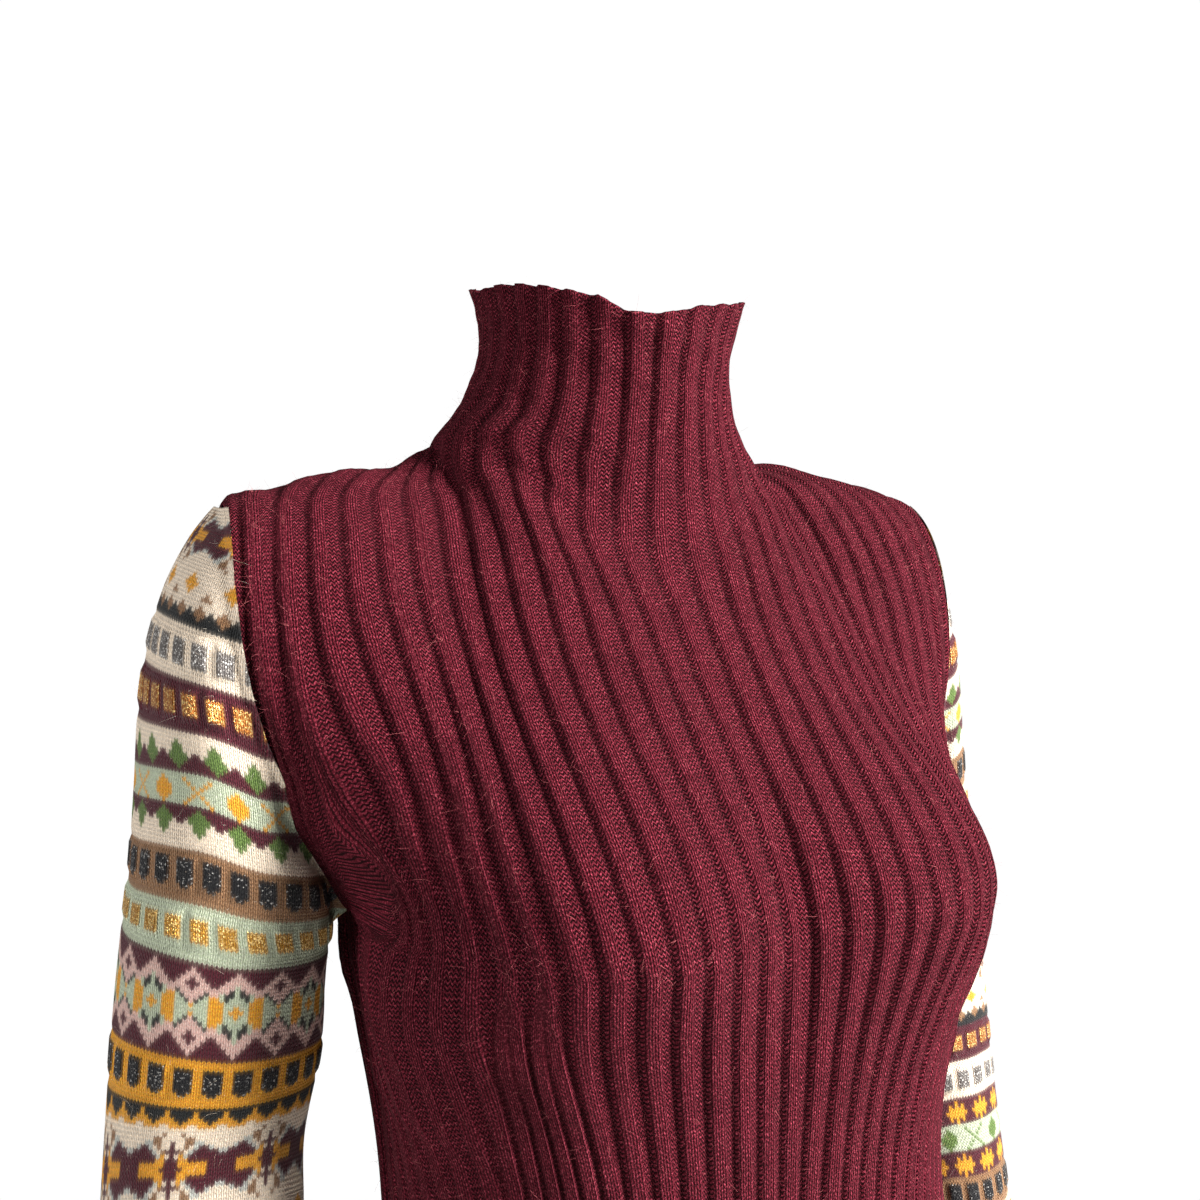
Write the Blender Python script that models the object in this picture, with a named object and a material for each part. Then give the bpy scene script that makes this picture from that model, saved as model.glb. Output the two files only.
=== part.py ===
"""Sweater dress as worn: ribbed front and back with a tall collar, patterned sleeves, ribbed cuffs.

Frame: metres, +Z up. The front faces -Y and the wearer's left side is +X. The origin is on the
neck's axis, level with the tops of the shoulders. Each cut piece is one closed wall of cloth. Its
middle surface comes from short tables of sections, and neighbouring pieces keep a gap at each seam.
"""

import bmesh
import bpy
import numpy as np
from mathutils import Vector, kdtree
from numpy import cos, pi, sin


def table(names, *rows):
    """Named columns, one row for each section."""
    return dict(zip(names.split(), np.array(rows, float).T))


BODY_WALL = 0.0026
SLEEVE_WALL = 0.0022
SEAM_GAP = 0.0005
UNDERARM_GAP = 0.0018

HEM_HEIGHT = -0.92
WAIST_HEIGHT = -0.40
UNDERARM_HEIGHT = -0.205
TORSO = table(
    "height half_width front back side",
    (HEM_HEIGHT, 0.222, -0.165, 0.115, -0.025),
    (-0.75, 0.203, -0.158, 0.105, -0.025),
    (-0.60, 0.180, -0.155, 0.095, -0.027),
    (-0.48, 0.154, -0.148, 0.062, -0.032),
    (WAIST_HEIGHT, 0.138, -0.139, 0.040, -0.034),
    (-0.33, 0.135, -0.128, 0.046, -0.030),
    (-0.26, 0.140, -0.128, 0.074, -0.014),
    (UNDERARM_HEIGHT, 0.152, -0.119, 0.092, 0.002),
)
FRONT_FULLNESS = 2.6
CUP = dict(across=0.086, height=-0.182, depth=0.034, inner=0.068, outer=0.032, above=0.044, below=0.041)
ARM_FOLD = dict(depth=-0.084, height=-0.212, out=0.022, wide=0.035, tall=0.045, starts=0.12)
SKIRT_FLUTE = dict(count=9, turn=0.7, most=0.006, start=-0.50)
EDGE_HOLD = 6
SLOPE_STEP = 0.001
CURVE_STEPS = 161
JOIN_DISTANCE = 1e-6
SHARED_DISTANCE = 0.0002

SHOULDER_TIP = np.array([0.187, 0.030, -0.027])
SHOULDER_ARCH = 0.005
COLLAR_SEAM = pi / 2 + pi / 12
COLLAR = table(
    "up half_width front middle back front_height side_height back_height",
    (0.00, 0.0800, -0.034, 0.015, 0.078, -0.041, 0.010, 0.016),
    (0.45, 0.0605, -0.037, 0.014, 0.072, 0.028, 0.044, 0.055),
    (1.00, 0.0705, -0.045, 0.017, 0.082, 0.068, 0.083, 0.102),
)
YOKE_COLUMNS = "across leave out forward x y z"
FRONT_YOKE = table(
    YOKE_COLUMNS,
    (0.00, 0.038, 0.000, 0.000, 0.000, -0.064, -0.086),
    (0.30, 0.022, 0.000, 0.000, 0.057, -0.040, -0.036),
    (0.50, 0.045, 0.000, 0.000, 0.102, -0.018, 0.003),
    (0.75, 0.026, 0.003, -0.021, 0.158, -0.050, -0.014),
    (1.00, 0.024, 0.038, -0.040, 0.191, -0.064, -0.014),
)
BACK_YOKE = table(
    YOKE_COLUMNS,
    (0.00, 0.070, 0.000, 0.000, 0.000, 0.098, -0.029),
    (0.25, 0.070, 0.000, 0.000, 0.050, 0.098, -0.030),
    (0.44, 0.065, 0.004, 0.000, 0.090, 0.075, -0.030),
    (0.75, 0.050, 0.018, 0.030, 0.140, 0.075, -0.035),
    (1.00, 0.030, 0.030, 0.065, 0.197, 0.085, -0.047),
)
NECK_SHARE = {"front": 0.50, "back": 0.44}

SLEEVE = table(
    "along x y z half_width half_depth tilt pitch",
    (0.165, 0.194, 0.011, -0.205, 0.0380, 0.0465, 0.33, 0.00),
    (0.200, 0.195, 0.010, -0.235, 0.0405, 0.0450, 0.24, 0.00),
    (0.280, 0.201, 0.006, -0.312, 0.0405, 0.0420, 0.10, -0.02),
    (0.360, 0.209, -0.002, -0.390, 0.0380, 0.0390, 0.05, -0.10),
    (0.440, 0.214, -0.018, -0.468, 0.0340, 0.0350, 0.03, -0.20),
    (0.520, 0.216, -0.040, -0.545, 0.0300, 0.0310, 0.02, -0.28),
    (0.600, 0.217, -0.065, -0.621, 0.0275, 0.0285, 0.02, -0.32),
)
CAP_END = 0.165
CUFF_START = 0.530
SLEEVE_END = 0.600
CAP_TOP_LEAVE = np.array([0.55, 0.00, -0.83])
CAP_UNDER_LEAVE = np.array([0.20, 0.05, -0.98])
CAP_ARRIVE = np.array([-0.10, 0.00, 0.99])
CAP_PULL = 0.38

SKIRT_ROWS = 8
WAIST_ROWS = 6
YOKE_ROWS = 10
COLLAR_ROWS = 5
NECK_COLUMNS = {"front": 8, "back": 6}
SHOULDER_COLUMNS = 6
CAP_ROWS = 5
SLEEVE_ROWS = 9
CUFF_ROWS = 2

BURGUNDY = (0.185, 0.022, 0.036, 1.0)
OATMEAL = (0.560, 0.400, 0.270, 1.0)
KNIT_ROUGHNESS = 0.9


def read(rows, at):
    """Every column of a table at these places: a natural cubic spline through its rows."""
    names = list(rows)
    knots = rows[names[0]]
    steps = np.diff(knots)
    count = len(knots)
    system = np.eye(count)
    for i in range(1, count - 1):
        system[i, i - 1 : i + 2] = steps[i - 1], 2 * (steps[i - 1] + steps[i]), steps[i]
    at = np.asarray(at, float)
    k = np.clip(np.searchsorted(knots, at) - 1, 0, count - 2)
    width = steps[k]
    a = (knots[k + 1] - at) / width
    b = 1 - a
    found = {}
    for name in names[1:]:
        values = rows[name]
        turns = np.zeros(count)
        turns[1:-1] = 6 * np.diff(np.diff(values) / steps)
        bend = np.linalg.solve(system, turns)
        curve = ((a**3 - a) * bend[k] + (b**3 - b) * bend[k + 1]) * width**2 / 6
        found[name] = a * values[k] + b * values[k + 1] + curve
    return found


def stack(x, y, z):
    return np.stack(np.broadcast_arrays(x, y, z), -1)


def bell(distance):
    return np.exp(-0.5 * distance**2)


def smooth(share):
    share = np.clip(share, 0, 1)
    return share * share * (3 - 2 * share)


def bezier(start, leave, arrive, end, share):
    back = 1 - share
    return back**3 * start + 3 * back * back * share * leave + 3 * back * share**2 * arrive + share**3 * end


def evenly(curve, start, end, parts):
    """The angles that share a curve into these parts of its length."""
    angles = np.linspace(start, end, CURVE_STEPS)
    lengths = np.linalg.norm(np.diff(curve(angles), axis=0), axis=1)
    run = np.concatenate([[0], np.cumsum(lengths)])
    return np.interp(parts * run[-1], run, angles)


def torso(height, angle):
    """The body's level section. The angle runs from the centre front over the left side."""
    t = read(TORSO, height)
    c = cos(angle)
    s = sin(angle)
    full = (np.abs(c) ** FRONT_FULLNESS + np.abs(s) ** FRONT_FULLNESS) ** (-1 / FRONT_FULLNESS)
    full = np.where(c > 0, full, 1.0)
    depth = np.where(c > 0, t["side"] - t["front"], t["back"] - t["side"])
    fall = np.clip((SKIRT_FLUTE["start"] - height) / (SKIRT_FLUTE["start"] - HEM_HEIGHT), 0, 1)
    flute = SKIRT_FLUTE["most"] * fall**1.5 * cos(SKIRT_FLUTE["count"] * angle + SKIRT_FLUTE["turn"])
    x = (t["half_width"] + flute) * s * full
    return stack(x, t["side"] - (depth + flute) * c * full, height)


def collar(up, angle):
    """The collar's rings, low at the centre front, from the base of the neck (0) to the rim (1)."""
    t = read(COLLAR, up)
    c = cos(angle)
    depth = np.where(c > 0, t["middle"] - t["front"], t["back"] - t["middle"])
    end = np.where(c > 0, t["front_height"], t["back_height"])
    z = t["side_height"] + (end - t["side_height"]) * c**2
    return stack(t["half_width"] * sin(angle), t["middle"] - depth * c, z)


def sleeve(along, angle):
    """The left sleeve's rings: outer side, front, underarm line and back, at quarter turns."""
    t = read(SLEEVE, along)
    out = t["half_width"] * cos(angle)
    back = -t["half_depth"] * sin(angle)
    return stack(t["x"] + out, t["y"] + back, t["z"] + t["tilt"] * out + t["pitch"] * back)


def with_cups(points, across):
    """The front's shaped cups, and the soft fold of cloth between each cup and the arm."""
    x, y, z = np.moveaxis(points, -1, 0)
    side = np.abs(x) - CUP["across"]
    rise = z - CUP["height"]
    wide = np.where(side < 0, CUP["inner"], CUP["outer"])
    tall = np.where(rise > 0, CUP["above"], CUP["below"])
    forward = CUP["depth"] * bell(side / wide) * bell(rise / tall)
    near = bell((y - ARM_FOLD["depth"]) / ARM_FOLD["wide"])
    level = bell((z - ARM_FOLD["height"]) / ARM_FOLD["tall"])
    outward = ARM_FOLD["out"] * near * level * np.clip(np.abs(x) / ARM_FOLD["starts"], 0, 1) ** 2
    free = smooth(EDGE_HOLD * (1 - across))
    return stack(x + outward * free, y - forward * free, z)


class Panel:
    """The left half of the front or the back, from its centre line (0) to its edge (1)."""

    def __init__(self, name):
        self.is_front = name == "front"
        self.centre = 0.0 if self.is_front else pi
        self.neck = NECK_SHARE[name]
        self.yoke = FRONT_YOKE if self.is_front else BACK_YOKE
        inside = np.linspace(0, self.neck, NECK_COLUMNS[name] + 1)
        self.across = np.concatenate([inside, np.linspace(self.neck, 1, SHOULDER_COLUMNS + 1)[1:]])

    def shaped(self, points):
        return with_cups(points, self.across) if self.is_front else points

    def angles(self, height):
        """Where the columns cross a level section."""

        def section(angle):
            points = torso(height, angle)
            return with_cups(points, np.abs(angle - self.centre) / (pi / 2)) if self.is_front else points

        return evenly(section, self.centre, pi / 2, self.across)

    def level(self, height):
        """A level row, from the hem up to the underarms."""
        return self.shaped(torso(height, self.angles(height)))

    def ring(self, up):
        """A row of the collar. The columns past the neck's share stop at the collar's seam."""
        parts = np.clip(self.across / self.neck, 0, 1)
        return collar(up, evenly(lambda angle: collar(up, angle), self.centre, COLLAR_SEAM, parts))

    def top(self):
        """The neckline, then the shoulder seam out to its tip."""
        corner = collar(0.0, COLLAR_SEAM)
        out = np.clip((self.across - self.neck) / (1 - self.neck), 0, 1)[:, None]
        seam = corner + (SHOULDER_TIP - corner) * out
        seam[:, 2:] += SHOULDER_ARCH * 4 * out * (1 - out)
        return np.where(out > 0, seam, self.ring(0.0))

    def above(self, rise):
        """A row of the yoke, from the underarms (0) to the neckline and shoulder seams (1)."""
        t = read(self.yoke, self.across)
        angles = self.angles(UNDERARM_HEIGHT)
        low = torso(UNDERARM_HEIGHT, angles)
        slope = (low - torso(UNDERARM_HEIGHT - SLOPE_STEP, angles)) / SLOPE_STEP
        leave = low + slope * t["leave"][:, None] + stack(t["out"], t["forward"], 0 * t["out"])
        arrive = stack(t["x"], t["y"], t["z"])
        return self.shaped(bezier(low, leave, arrive, self.top(), rise))

    def rows(self):
        """All rows from the hem to the collar's rim, and the number of them below the collar."""
        skirt = np.linspace(HEM_HEIGHT, WAIST_HEIGHT, SKIRT_ROWS + 1)
        waist = np.linspace(WAIST_HEIGHT, UNDERARM_HEIGHT, WAIST_ROWS + 1)[1:]
        body = [self.level(height) for height in [*skirt, *waist]]
        body += [self.above(rise) for rise in np.linspace(0, 1, YOKE_ROWS + 1)[1:]]
        neck = [self.ring(up) for up in np.linspace(0, 1, COLLAR_ROWS + 1)[1:]]
        return np.array(body + neck), len(body)

    def armhole(self):
        """The armhole's edge, from the shoulder's tip down to the underarm."""
        return np.array([self.above(rise)[-1] for rise in np.linspace(1, 0, YOKE_ROWS + 1)])


def grid_sheet(points, keep=None):
    """A sheet through rows of points. Where two of its edges meet, they are joined."""
    rows, columns = points.shape[:2]
    sheet = bmesh.new()
    bmesh.ops.create_grid(sheet, x_segments=columns - 1, y_segments=rows - 1, size=1)
    beyond = []
    for vertex in sheet.verts:
        column = round((vertex.co.x + 1) * (columns - 1) / 2)
        row = round((vertex.co.y + 1) * (rows - 1) / 2)
        if keep is not None and not keep(row, column):
            beyond.append(vertex)
        vertex.co = points[row, column]
    bmesh.ops.delete(sheet, geom=beyond, context="VERTS")
    bmesh.ops.remove_doubles(sheet, verts=sheet.verts, dist=JOIN_DISTANCE)
    return sheet


def panel_sheet(name):
    """The front's or back's middle surface, both halves, without the corners above the shoulders."""
    half, below_collar = Panel(name).rows()
    points = np.concatenate([half[:, :0:-1] * np.array([-1, 1, 1]), half], axis=1)
    middle = half.shape[1] - 1

    def keep(row, column):
        return row < below_collar or abs(column - middle) <= NECK_COLUMNS[name]

    return grid_sheet(points, keep)


def armhole_ring():
    """The left armhole, from the shoulder's tip down the front and up the back to the tip."""
    return np.concatenate([Panel("front").armhole(), Panel("back").armhole()[-2::-1]])


def ring_angles():
    return np.linspace(0, 2 * pi, 2 * YOKE_ROWS + 1)


def sleeve_points():
    """The left sleeve's rows: the cap, drawn from the armhole, and the rings down to the cuff."""
    start = armhole_ring()
    end = sleeve(CAP_END, ring_angles())
    reach = CAP_PULL * np.linalg.norm(end - start, axis=1)[:, None]
    top = (1 + cos(ring_angles()))[:, None] / 2
    leave = start + reach * (top * CAP_TOP_LEAVE + (1 - top) * CAP_UNDER_LEAVE)
    arrive = end + reach * CAP_ARRIVE
    cap = [bezier(start, leave, arrive, end, share) for share in np.linspace(0, 1, CAP_ROWS + 1)]
    arm = [sleeve(along, ring_angles()) for along in np.linspace(CAP_END, CUFF_START, SLEEVE_ROWS + 1)[1:]]
    return np.array(cap + arm)


def cuff_points():
    rows = np.linspace(CUFF_START, SLEEVE_END, CUFF_ROWS + 1)
    return np.array([sleeve(along, ring_angles()) for along in rows])


def armhole_leans():
    """The way the walls' ends face round the left armhole: away from its middle, in its plane."""
    ring = armhole_ring()[:-1]
    spokes = ring - ring.mean(axis=0)
    through = np.cross(spokes, np.roll(spokes, -1, axis=0)).sum(axis=0)
    along = np.roll(ring, -1, axis=0) - np.roll(ring, 1, axis=0)
    leans = np.cross(along, through)
    leans /= np.linalg.norm(leans, axis=1)[:, None]
    outward = np.sign((leans * spokes).sum(axis=1))[:, None]
    return ring, leans * outward


def seam_leans(sheets):
    """One direction for each point of each sheet, the same for the pieces that meet at a seam.

    The second result holds the points of each sheet that another sheet shares.
    """
    leans = {}
    joined = {name: set() for name in sheets}
    rims = []
    for name, sheet in sheets.items():
        sheet.verts.ensure_lookup_table()
        sheet.normal_update()
        leans[name] = [vertex.normal.copy() for vertex in sheet.verts]
        rims += [(name, vertex.index, vertex.co.copy()) for vertex in sheet.verts if vertex.is_boundary]
    tree = kdtree.KDTree(len(rims))
    for place, (_, _, point) in enumerate(rims):
        tree.insert(point, place)
    tree.balance()
    for _, _, point in rims:
        shared = [rims[place] for _, place, _ in tree.find_range(point, SHARED_DISTANCE)]
        total = sum((sheets[name].verts[index].normal for name, index, _ in shared), Vector())
        for name, index, _ in shared:
            leans[name][index] = total.normalized()
            if len(shared) > 1:
                joined[name].add(index)
    for side in (1, -1):
        for point, lean in zip(*armhole_leans()):
            mirror = np.array([side, 1, 1])
            for _, place, _ in tree.find_range(point * mirror, SHARED_DISTANCE):
                name, index, _ = rims[place]
                leans[name][index] = Vector(lean * mirror)
    return leans, joined


def seam_allowance(vertex, lean, joined):
    """How far a point at a seam moves into its own piece, square to each seam edge that it ends."""
    inward = []
    for edge in vertex.link_edges:
        if not edge.is_boundary or not all(end.index in joined for end in edge.verts):
            continue
        run = edge.verts[0].co - edge.verts[1].co
        way = lean.cross(run).normalized()
        into = edge.link_faces[0].calc_center_median() - vertex.co
        inward.append(way if way.dot(into) > 0 else -way)
    if not inward:
        return Vector()
    meet = inward[0].dot(inward[1]) if len(inward) > 1 else 0
    at_underarm = len(inward) > 1 and abs(vertex.co.z - UNDERARM_HEIGHT) < SHARED_DISTANCE
    gap = UNDERARM_GAP if at_underarm else SEAM_GAP
    return sum(inward, Vector()) * (gap / 2 / (1 + meet))


def make_wall(sheet, leans, joined, thickness):
    """Turns a middle surface into a closed wall of cloth, with its gap at each seam."""
    place = sheet.verts.layers.int.new("place")
    middles = []
    for vertex in sheet.verts:
        vertex[place] = vertex.index
        middles.append(vertex.co + seam_allowance(vertex, leans[vertex.index], joined))
    drawn = bmesh.ops.extrude_face_region(sheet, geom=sheet.faces[:], use_keep_orig=True)["geom"]
    outer = {part for part in drawn if isinstance(part, bmesh.types.BMVert)}
    for vertex in sheet.verts:
        half = thickness / 2 if vertex in outer else -thickness / 2
        vertex.co = middles[vertex[place]] + leans[vertex[place]] * half
    sheet.verts.layers.int.remove(place)
    bmesh.ops.recalc_face_normals(sheet, faces=sheet.faces[:])


def knit_material(name, colour):
    material = bpy.data.materials.new(name)
    material.use_nodes = True
    shader = material.node_tree.nodes["Principled BSDF"]
    shader.inputs["Base Color"].default_value = colour
    shader.inputs["Roughness"].default_value = KNIT_ROUGHNESS
    shader.inputs["Metallic"].default_value = 0.0
    return material


def add_piece(name, sheet, colour):
    mesh = bpy.data.meshes.new(name)
    sheet.to_mesh(mesh)
    sheet.free()
    mesh.shade_smooth()
    mesh.materials.append(knit_material(name + "_knit", colour))
    bpy.context.scene.collection.objects.link(bpy.data.objects.new(name, mesh))


def clear_scene():
    for thing in list(bpy.data.objects):
        bpy.data.objects.remove(thing)


def main():
    clear_scene()
    sheets = {"front": panel_sheet("front"), "back": panel_sheet("back")}
    for side, word in ((1, "left"), (-1, "right")):
        sheets["sleeve_" + word] = grid_sheet(sleeve_points() * np.array([side, 1, 1]))
        sheets["cuff_" + word] = grid_sheet(cuff_points() * np.array([side, 1, 1]))
    for sheet in sheets.values():
        bmesh.ops.recalc_face_normals(sheet, faces=sheet.faces[:])
    leans, joined = seam_leans(sheets)
    for name, sheet in sheets.items():
        is_sleeve = name.startswith("sleeve")
        make_wall(sheet, leans[name], joined[name], SLEEVE_WALL if is_sleeve else BODY_WALL)
        add_piece(name, sheet, OATMEAL if is_sleeve else BURGUNDY)


main()
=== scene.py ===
"""Sweater dress: ribbed front and back with a tall collar, banded sleeves and ribbed cuffs.

Frame: metres, +Z up, the front faces -Y and the wearer's left side is +X. Each class below builds
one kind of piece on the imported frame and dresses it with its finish.
"""

import logging
from contextlib import contextmanager
from dataclasses import dataclass
from enum import Enum
from typing import Callable, Iterator, Union

import bmesh
import bpy
import numpy as np
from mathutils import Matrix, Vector


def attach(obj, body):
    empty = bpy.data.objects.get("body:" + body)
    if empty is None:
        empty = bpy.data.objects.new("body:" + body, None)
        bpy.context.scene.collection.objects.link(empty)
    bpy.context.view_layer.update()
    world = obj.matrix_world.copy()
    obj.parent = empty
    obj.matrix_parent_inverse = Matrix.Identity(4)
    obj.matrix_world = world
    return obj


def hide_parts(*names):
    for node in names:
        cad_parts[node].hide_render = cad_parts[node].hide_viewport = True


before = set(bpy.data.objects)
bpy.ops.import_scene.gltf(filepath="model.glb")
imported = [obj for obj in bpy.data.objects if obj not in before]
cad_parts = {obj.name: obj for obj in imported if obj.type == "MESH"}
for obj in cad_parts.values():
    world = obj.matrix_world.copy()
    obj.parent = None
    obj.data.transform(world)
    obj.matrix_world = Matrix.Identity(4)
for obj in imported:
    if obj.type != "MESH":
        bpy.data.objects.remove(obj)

LOG = logging.getLogger("sweater_dress")
Array = np.ndarray
Table = dict[str, Array]
Value = Union[bpy.types.NodeSocket, float]
PI = np.pi
PANEL_MERGE = 1e-6
TUBE_MERGE = 2e-5


class Panel(Enum):
    """The two knitted panels that make the body."""

    FRONT = "front"
    BACK = "back"


class Side(Enum):
    """A sleeve's side of the wearer, with its sign along X."""

    LEFT = 1
    RIGHT = -1

    @property
    def word(self) -> str:
        """The side's name, as nodes spell it."""
        return self.name.lower()


class Slot(Enum):
    """The record's material slots."""

    RIBBED = "ribbed_knit"
    PATTERNED = "patterned_knit"


def table(names: str, *rows: tuple) -> Table:
    """Names the columns of some rows.

    Args:
        names: The columns' names, with spaces between.
        rows: One row for each section.

    Returns:
        Each name with its column.
    """
    return dict(zip(names.split(), np.array(rows, float).T))


def read(rows: Table, at: Array) -> Table:
    """Reads every column of a table by a natural cubic spline through its rows.

    Args:
        rows: The table, with its knots in the first column.
        at: The places to read.

    Returns:
        Each other column's values there.
    """
    names = list(rows)
    knots = rows[names[0]]
    steps = np.diff(knots)
    count = len(knots)
    system = np.eye(count)
    for i in range(1, count - 1):
        system[i, i - 1 : i + 2] = steps[i - 1], 2 * (steps[i - 1] + steps[i]), steps[i]
    at = np.asarray(at, float)
    k = np.clip(np.searchsorted(knots, at) - 1, 0, count - 2)
    width = steps[k]
    a = (knots[k + 1] - at) / width
    b = 1 - a
    found = {}
    for name in names[1:]:
        values = rows[name]
        turns = np.zeros(count)
        turns[1:-1] = 6 * np.diff(np.diff(values) / steps)
        bend = np.linalg.solve(system, turns)
        curve = ((a**3 - a) * bend[k] + (b**3 - b) * bend[k + 1]) * width**2 / 6
        found[name] = a * values[k] + b * values[k + 1] + curve
    return found


def stack(x: Array, y: Array, z: Array) -> Array:
    """Points from their coordinates."""
    return np.stack(np.broadcast_arrays(x, y, z), -1)


def bell(distance: Array) -> Array:
    """A smooth bump of height 1 and spread 1."""
    return np.exp(-0.5 * distance**2)


def smooth(share: Array) -> Array:
    """An eased step from 0 to 1."""
    share = np.clip(share, 0, 1)
    return share * share * (3 - 2 * share)


@dataclass(frozen=True)
class Swell:
    """A smooth bump along a line.

    Attributes:
        middle: Where it is highest.
        spread: How far it spreads.
        most: Its height.
    """

    middle: float
    spread: float
    most: float = 1.0

    def at(self, place: Array) -> Array:
        """Its height at each place."""
        return self.most * bell((place - self.middle) / self.spread)


@dataclass(frozen=True)
class Ease:
    """An eased step along a line.

    Attributes:
        start: Where it begins.
        width: How far on it is full. Below zero, it rises the other way.
        most: Its height.
    """

    start: float
    width: float
    most: float = 1.0

    def at(self, place: Array) -> Array:
        """Its height at each place."""
        return self.most * smooth((place - self.start) / self.width)


def bezier(start: Array, leave: Array, arrive: Array, end: Array, share: Array) -> Array:
    """A cubic curve from its ends and the two points that shape it."""
    back = 1 - share
    shaped = back**3 * start + 3 * back * back * share * leave + 3 * back * share**2 * arrive
    return shaped + share**3 * end


def run_along(points: Array) -> Array:
    """How far each row of points lies along the cloth from the first row."""
    steps = np.linalg.norm(np.diff(points, axis=0), axis=-1)
    return np.concatenate([np.zeros_like(steps[:1]), np.cumsum(steps, axis=0)])


def read_line(at: Array, places: Array, line: Array) -> Array:
    """Reads a line of points at some places along it."""
    return np.stack([np.interp(at, places, column) for column in line.T], -1)


def evenly(curve: Callable[[Array], Array], start: float, end: float, parts: Array) -> Array:
    """Finds the angles that share a curve into parts of its length.

    Args:
        curve: Gives the points at some angles.
        start: The curve's first angle.
        end: Its last angle.
        parts: Shares of the length, from 0 to 1.

    Returns:
        The angle at each share.
    """
    angles = np.linspace(start, end, 241)
    run = run_along(curve(angles))
    return np.interp(parts * run[-1], run, angles)


def ripple(x: Array, y: Array, seed: int, octaves: int = 5) -> Array:
    """Smooth unevenness, about 1 high, for things made by hand.

    Args:
        x: First coordinate, in waves.
        y: Second coordinate, in waves.
        seed: Picks the pattern.
        octaves: How many waves are laid over each other.

    Returns:
        The height at each place.
    """
    chance = np.random.default_rng(seed)
    total = 0.0
    for step in range(octaves):
        turn, start = chance.uniform(0, 2 * PI, 2)
        pitch = chance.uniform(0.6, 1.6) * (1 + 0.35 * step)
        wave = np.sin(2 * PI * pitch * (x * np.cos(turn) + y * np.sin(turn)) + start)
        total = total + wave / (1 + 0.5 * step)
    return total / 2.2


def running_mean(values: Array, width: int) -> Array:
    """The mean of each value's odd number of neighbours, the ends repeated."""
    return np.convolve(np.pad(values, width // 2, mode="edge"), np.ones(width) / width, mode="valid")


def grid_normals(points: Array) -> Array:
    """Unit normals of a grid of points, on the side that its rows and columns turn to."""
    across = np.gradient(points, axis=1)
    along = np.gradient(points, axis=0)
    normal = np.cross(across, along)
    length = np.linalg.norm(normal, axis=-1, keepdims=True)
    return normal / np.maximum(length, 1e-12)


HEM = -0.92
UNDERARM = -0.205
TORSO = table(
    "height half_width front back side",
    (HEM, 0.222, -0.165, 0.115, -0.025),
    (-0.75, 0.203, -0.158, 0.105, -0.025),
    (-0.60, 0.180, -0.155, 0.095, -0.027),
    (-0.48, 0.154, -0.148, 0.062, -0.032),
    (-0.40, 0.138, -0.139, 0.040, -0.034),
    (-0.33, 0.135, -0.128, 0.046, -0.030),
    (-0.26, 0.140, -0.128, 0.074, -0.014),
    (UNDERARM, 0.152, -0.119, 0.092, 0.002),
)
COLLAR = table(
    "up half_width front middle back front_height side_height back_height",
    (0.00, 0.0800, -0.034, 0.015, 0.078, -0.041, 0.010, 0.016),
    (0.45, 0.0605, -0.037, 0.014, 0.072, 0.028, 0.044, 0.055),
    (1.00, 0.0705, -0.045, 0.017, 0.082, 0.068, 0.0885, 0.102),
)
YOKE = {
    Panel.FRONT: table(
        "across leave out forward x y z",
        (0.00, 0.038, 0.000, 0.000, 0.000, -0.064, -0.086),
        (0.30, 0.022, 0.000, 0.000, 0.057, -0.040, -0.036),
        (0.50, 0.045, 0.000, 0.000, 0.102, -0.018, 0.003),
        (0.75, 0.026, 0.003, -0.021, 0.158, -0.050, -0.014),
        (1.00, 0.024, 0.038, -0.040, 0.191, -0.064, -0.014),
    ),
    Panel.BACK: table(
        "across leave out forward x y z",
        (0.00, 0.070, 0.000, 0.000, 0.000, 0.098, -0.029),
        (0.25, 0.070, 0.000, 0.000, 0.050, 0.098, -0.030),
        (0.44, 0.065, 0.004, 0.000, 0.090, 0.075, -0.030),
        (0.75, 0.050, 0.018, 0.030, 0.140, 0.075, -0.035),
        (1.00, 0.030, 0.030, 0.065, 0.197, 0.085, -0.047),
    ),
}
SLEEVE = table(
    "along x y z half_width half_depth tilt pitch",
    (0.165, 0.194, 0.011, -0.205, 0.0380, 0.0465, 0.33, 0.00),
    (0.200, 0.195, 0.010, -0.235, 0.0405, 0.0450, 0.24, 0.00),
    (0.280, 0.201, 0.006, -0.312, 0.0405, 0.0420, 0.10, -0.02),
    (0.360, 0.209, -0.002, -0.390, 0.0380, 0.0390, 0.05, -0.10),
    (0.440, 0.214, -0.018, -0.468, 0.0340, 0.0350, 0.03, -0.20),
    (0.520, 0.216, -0.040, -0.545, 0.0300, 0.0310, 0.02, -0.28),
    (0.600, 0.217, -0.065, -0.621, 0.0275, 0.0285, 0.02, -0.32),
)


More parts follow.
